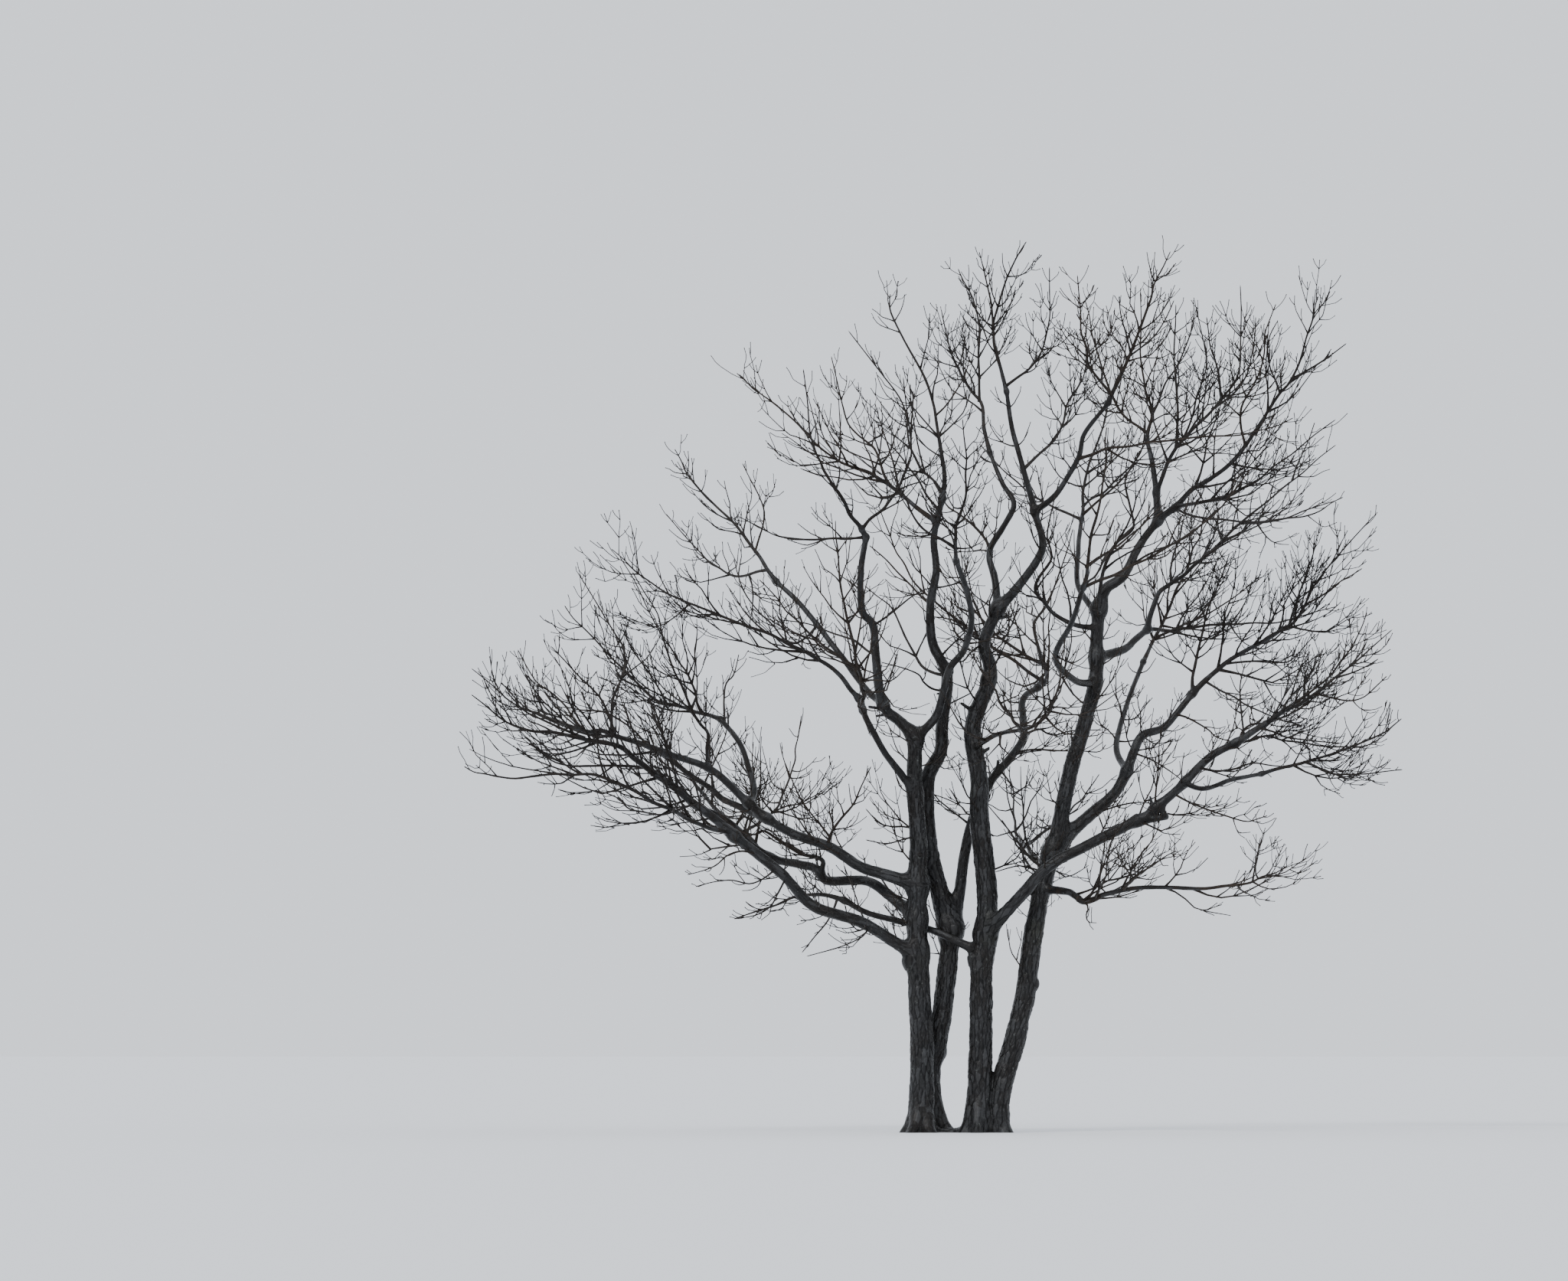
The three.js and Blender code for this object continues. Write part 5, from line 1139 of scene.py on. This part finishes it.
def add_relief(places, out, radius, which, along, turn, blend, woods):
    """Bark plates and cracks pressed into the skin. Also what the material reads at each place."""
    around = np.array([wood.plates for wood in woods])[which]
    width = np.array([wood.plate_width for wood in woods])[which]
    column = (turn / (2 * math.pi) % 1) * around + lumps(places, *COLUMN_BENDS)
    row = along / (width * PLATE_ASPECT) + lumps(places, *ROW_BENDS)
    crack, upright, own = plates(column, row, around, which)
    plate = 1 - (1 - smooth(*CRACK_EDGE, crack)) * within(CROSS_CRACK, upright)
    rough = np.clip((radius / FULL_RELIEF) ** RELIEF_POWER, *RELIEF_LIMITS)
    depth = RELIEF_DEPTH * rough * (1 - FILLET_RELIEF * blend)
    push = depth * (plate - PLATE_LEVEL + PLATE_STEPS * (own - 0.5) * plate + lumps(places, *ROUGHNESS))
    push += radius * (lumps(places, *SWELLS) + lumps(places, *DENTS))
    # Painted shade in the cracks, stronger where the relief is deeper
    crack_shade = 1 - (1 - plate) * np.clip(rough * CRACK_SHADE_GAIN, *CRACK_SHADE_LIMITS)
    grain = np.stack([np.cos(turn) * radius + which * GRAIN_SHIFT, np.sin(turn) * radius,
                      along * GRAIN_STRETCH], axis=1)
    return places + out * push[:, None], {"crack_shade": crack_shade, "tone": own, "grain": grain, "girth": radius}


def remeshed(rough_tubes, voxel):
    """The outer skin of overlapping closed tubes, in squares of about one voxel."""
    mesh = new_mesh("rough", np.concatenate(rough_tubes.corners), rough_tubes.faces)
    rough = new_object("rough", mesh)
    skin = rough.modifiers.new("skin", "REMESH")
    skin.mode = "VOXEL"
    skin.voxel_size = voxel
    made = rough.evaluated_get(bpy.context.evaluated_depsgraph_get()).to_mesh()
    places = np.empty(len(made.vertices) * 3, np.float32)
    made.vertices.foreach_get("co", places)
    loops = np.empty(len(made.loops), np.int32)
    made.loops.foreach_get("vertex_index", loops)
    bpy.data.objects.remove(rough)
    bpy.data.meshes.remove(mesh)
    return places.reshape(-1, 3).astype(float), loops.reshape(-1, 4)


def cut_flat(mesh, low, high):
    """Keeps what lies between two heights, with flat ends."""
    work = bmesh.new()
    work.from_mesh(mesh)
    for height, way in ((low, -1), (high, 1)):
        everything = work.verts[:] + work.edges[:] + work.faces[:]
        cut = bmesh.ops.bisect_plane(work, geom=everything, plane_co=(0, 0, height), plane_no=(0, 0, way),
                                     clear_outer=True)
        rim = [one for one in cut["geom_cut"] if isinstance(one, bmesh.types.BMEdge)]
        if rim:
            bmesh.ops.edgeloop_fill(work, edges=rim)
            for edge in rim:
                edge.smooth = False
    work.to_mesh(mesh)
    work.free()


def bark_piece(name, woods, voxel, low, high):
    """The bark of some woods between two heights."""
    near = [wood for wood in woods if wood.high[2] > low - NEAR_WOOD and wood.low[2] < high + NEAR_WOOD]
    rough = Bundle()
    for wood in near:
        # The tube's end runs on a little, so that its tip is round.
        end = wood.places[-1] + unit(wood.places[-1] - wood.places[-2]) * wood.radii[-1] * WOOD_TIP
        rough.add(np.vstack([wood.places, end])[None], np.append(wood.radii, 0)[None], WOOD_SIDES)
    places, quads = remeshed(rough, voxel)
    heights = places[quads][:, :, 2]
    kept = (heights.max(axis=1) > low - NEAR_FACE) & (heights.min(axis=1) < high + NEAR_FACE)
    used, quads = np.unique(quads[kept], return_inverse=True)
    places, values = add_relief(*settle(places[used], near), near)
    mesh = new_mesh(name, places, [quads.reshape(-1, 4)])
    for key, value in values.items():
        kind, field = ("FLOAT_VECTOR", "vector") if value.ndim == 2 else ("FLOAT", "value")
        made = mesh.attributes.new(key, kind, "POINT")
        made.data.foreach_set(field, value.astype(np.float32).ravel())
    cut_flat(mesh, low, high)
    return new_piece(name, mesh, [BARK])


class Paint:
    """A material, and the nodes that it is made of."""

    def __init__(self, name, roughness, colour=None):
        self.material = bpy.data.materials.new(name)
        self.material.use_nodes = True
        self.nodes = self.material.node_tree.nodes
        self.link = self.material.node_tree.links.new
        self.inputs = self.nodes["Principled BSDF"].inputs
        self.inputs["Roughness"].default_value = roughness
        self.inputs["Specular IOR Level"].default_value = SHEEN
        if colour:
            self.inputs["Base Color"].default_value = (*colour, 1)

    def new(self, kind, **values):
        """A new node, with values for its sockets by name."""
        made = self.nodes.new(kind)
        for name, value in values.items():
            self.give(made.inputs[name.replace("_", " ")], value)
        return made

    def give(self, socket, value):
        """Sets a socket to a number or a colour, or links it."""
        if isinstance(value, bpy.types.NodeSocket):
            self.link(value, socket)
        else:
            socket.default_value = (*value, 1) if isinstance(value, tuple) else value

    def space(self):
        return self.nodes.new("ShaderNodeTexCoord").outputs["Object"]

    def attribute(self, name, output="Fac"):
        made = self.nodes.new("ShaderNodeAttribute")
        made.attribute_name = name
        return made.outputs[output]

    def noise(self, vector, scale, detail=4.0, roughness=0.6):
        return self.new("ShaderNodeTexNoise", Vector=vector, Scale=scale, Detail=detail,
                        Roughness=roughness).outputs["Fac"]

    def ramp(self, value, low, high):
        """0 below low, 1 above high, and smooth between them."""
        made = self.new("ShaderNodeMapRange", Value=value, From_Min=low, From_Max=high)
        made.interpolation_type = "SMOOTHSTEP"
        return made.outputs["Result"]

    def mix(self, share, first, second):
        """A colour between two colours or links."""
        made = self.nodes.new("ShaderNodeMix")
        made.data_type = "RGBA"
        self.link(share, made.inputs["Factor"])
        # The sockets for colours come after those for numbers and vectors of the same names.
        self.give(made.inputs[6], first)
        self.give(made.inputs[7], second)
        return made.outputs[2]

    def times(self, first, second):
        made = self.nodes.new("ShaderNodeMath")
        made.operation = "MULTIPLY"
        self.give(made.inputs[0], first)
        self.give(made.inputs[1], second)
        return made.outputs[0]

    def bump(self, height, distance, strength):
        made = self.new("ShaderNodeBump", Height=height, Distance=distance, Strength=strength)
        self.link(made.outputs["Normal"], self.inputs["Normal"])


def bark_material():
    """Dark furrowed bark: near black painted shade in the cracks, grey-brown plates, pale streaks, lichen and
    a little green.
    """
    paint = Paint("bark", 0.9)
    space, grain = paint.space(), paint.attribute("grain", "Vector")
    crack_shade, tone, girth = (paint.attribute(name) for name in ("crack_shade", "tone", "girth"))
    streaks = paint.noise(grain, 55, 5.0, 0.65)
    colour = paint.mix(paint.ramp(paint.noise(space, 2.2, 3.0), 0.35, 0.65), PLATE_BROWN, PLATE_GREY)
    colour = paint.mix(paint.times(paint.ramp(tone, 0.45, 1.0), 0.45), colour, PLATE_PALE)
    streak = paint.times(paint.ramp(streaks, 0.5, 0.72), paint.ramp(girth, 0.03, 0.09))
    colour = paint.mix(paint.times(streak, 0.7), colour, PLATE_PALE)
    green = paint.times(paint.ramp(paint.noise(space, 1.1, 2.0), 0.55, 0.72), 0.5)
    colour = paint.mix(paint.times(green, paint.ramp(girth, 0.05, 0.11)), colour, MOSS)
    spots = paint.noise(space, 17, 3.0, 0.7)
    lichen = paint.times(paint.ramp(spots, 0.64, 0.7), paint.ramp(girth, 0.02, 0.05))
    colour = paint.mix(paint.times(lichen, 0.75), colour, LICHEN)
    # Painted shade: the cracks are darkened towards near black
    paint.link(paint.mix(paint.ramp(crack_shade, 0.1, 0.85), CRACK_SHADE, colour), paint.inputs["Base Color"])
    paint.link(paint.ramp(streaks, -0.6, 2.6), paint.inputs["Roughness"])
    paint.bump(paint.noise(grain, 140, 6.0, 0.7), 0.004, 0.8)
    return paint.material


def twig_material(name, colour):
    """Young bark: one plain tone for all the twigs of a spray, with a faint sheen broken up by pores."""
    paint = Paint(name, 0.7, colour)
    pores = paint.noise(paint.space(), 180, 3.0)
    paint.link(paint.ramp(pores, -0.9, 1.7), paint.inputs["Roughness"])
    paint.bump(pores, 0.001, 0.5)
    return paint.material


def branch_material(name, colour):
    """Thin smooth bark with pale weathered patches."""
    paint = Paint(name, 0.8)
    space = paint.space()
    patches = paint.noise(space, 14)
    pale = tuple(WEATHERED * part for part in colour)
    paint.link(paint.mix(paint.ramp(patches, 0.4, 0.75), colour, pale), paint.inputs["Base Color"])
    paint.link(paint.ramp(patches, -1.4, 1.6), paint.inputs["Roughness"])
    paint.bump(paint.noise(space, 120, 5.0), 0.002, 0.6)
    return paint.material


BARK = bark_material()
TWIG_TONES = [twig_material(f"twig_{name}", colour) for name, colour in TWIG_COLOURS.items()]
BRANCH_TONES = [branch_material(f"branch_{name}", colour) for name, colour in TWIG_COLOURS.items()]

# Branches and twigs, for each side of the crown. A forked spray lies where its last fork ends.
sides = {number: side_of(limb.at(limb.last)) for limb, number, _ in carriers}
carrier_side = np.array([sides[number] for number in range(len(sides))])
for side in ("left", "middle", "right"):
    replaced = [spray[0].name for spray, where in zip(sprays, carrier_side) if where == side]
    wood, fine = Bundle(), Bundle()
    for limb, number, _ in branches:
        if carrier_side[number] == side:
            add_branch(wood, limb, number)
    for bundle, shoots, shape in ((wood, firsts, FIRST_SHAPE), (fine, seconds, SECOND_SHAPE),
                                  (fine, thirds, THIRD_SHAPE)):
        add_shoots(bundle, pick(shoots, carrier_side[shoots["spray"]] == side), *shape)
    for kind, bundle, tones in (("branches", wood, BRANCH_TONES), ("twigs", fine, TWIG_TONES)):
        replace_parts(bundle.piece(f"{kind}_{side}", tones), *replaced)

# The bark around each pair of stems
pair_of = {}
for name, limb in limbs.items():
    pair_of[name] = PAIRS[name] if name in PAIRS else pair_of[limb.parent]
woods = {"left": [], "right": []}
for limb in boughs_and_stems:
    woods[pair_of[limb.name]].append(wood_of(limb))
for limb, _, _ in branches:
    if limb.thick > BARK_THINNEST:
        until = (limb.thick - BARK_THINNEST) / (limb.thick - limb.thin)
        woods[pair_of[limb.parent]].append(wood_of(limb, max(until, SHORTEST_WOOD), dive=True))
for make, rows in ((buttress_wood, BUTTRESSES), (stub_wood, STUBS), (burl_wood, BURLS)):
    for row in rows:
        woods[pair_of[row[0]]].append(make(*row))
for pair, (stem, end) in SADDLE_ENDS.items():
    woods[pair].append(Wood("saddle", stem, np.array([end, SADDLE_MIDDLE]), np.full(2, SADDLE_RADIUS)))

for pair, some in woods.items():
    own = [limb for limb in boughs_and_stems if pair_of[limb.name] == pair]
    lower = [limb.name for limb in own if limb.points[0, 2] < BARK_CUT]
    upper = [limb.name for limb in own if limb.points[-1, 2] > BARK_CUT]
    piece = bark_piece(f"bark_{pair}_lower", some, LOWER_VOXEL, 0.0, BARK_CUT)
    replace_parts(piece, *lower, "root_crown")
    piece = bark_piece(f"bark_{pair}_upper", some, UPPER_VOXEL, BARK_CUT, BARK_TOP)
    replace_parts(piece, *upper)

# The plain studio: a pale floor, a pale world, a soft lamp and the camera
turns = np.linspace(0, 2 * math.pi, FLOOR_SIDES + 1)[:-1]
floor_corners = FLOOR_RADIUS * np.stack([np.cos(turns), np.sin(turns), np.zeros(FLOOR_SIDES)], axis=1)
floor_mesh = new_mesh("floor", floor_corners, [np.arange(FLOOR_SIDES)[None]])
floor_mesh.materials.append(Paint("floor", 0.95, FLOOR_COLOUR).material)
new_object("floor", floor_mesh)

world = bpy.data.worlds.new("studio")
bpy.context.scene.world = world
world.use_nodes = True
world.node_tree.nodes["Background"].inputs["Color"].default_value = (*SKY_COLOUR, 1)
world.node_tree.nodes["Background"].inputs["Strength"].default_value = SKY_STRENGTH

lamp = bpy.data.lights.new("lamp", "SUN")
lamp.energy = LAMP_STRENGTH
lamp.angle = math.radians(LAMP_SPREAD)
new_object("lamp", lamp).rotation_euler = [math.radians(angle) for angle in LAMP_TURN]

focal = VIEW_DISTANCE / METRES_PER_PIXEL
yaw = math.atan((FOOT_PIXEL[0] - PHOTO_WIDTH / 2) / focal)
pitch = math.atan((FOOT_PIXEL[1] - PHOTO_HEIGHT / 2) / focal) - math.atan(EYE_HEIGHT / VIEW_DISTANCE)
camera_data = bpy.data.cameras.new("camera")
camera_data.sensor_width = SENSOR
camera_data.lens = focal / PHOTO_WIDTH * SENSOR
camera_data.clip_end = CLIP_END
camera = new_object("camera", camera_data)
camera.location = (0, -VIEW_DISTANCE, EYE_HEIGHT)
camera.rotation_euler = (math.pi / 2 + pitch, 0, yaw)
bpy.context.scene.camera = camera

bpy.context.view_layer.update()
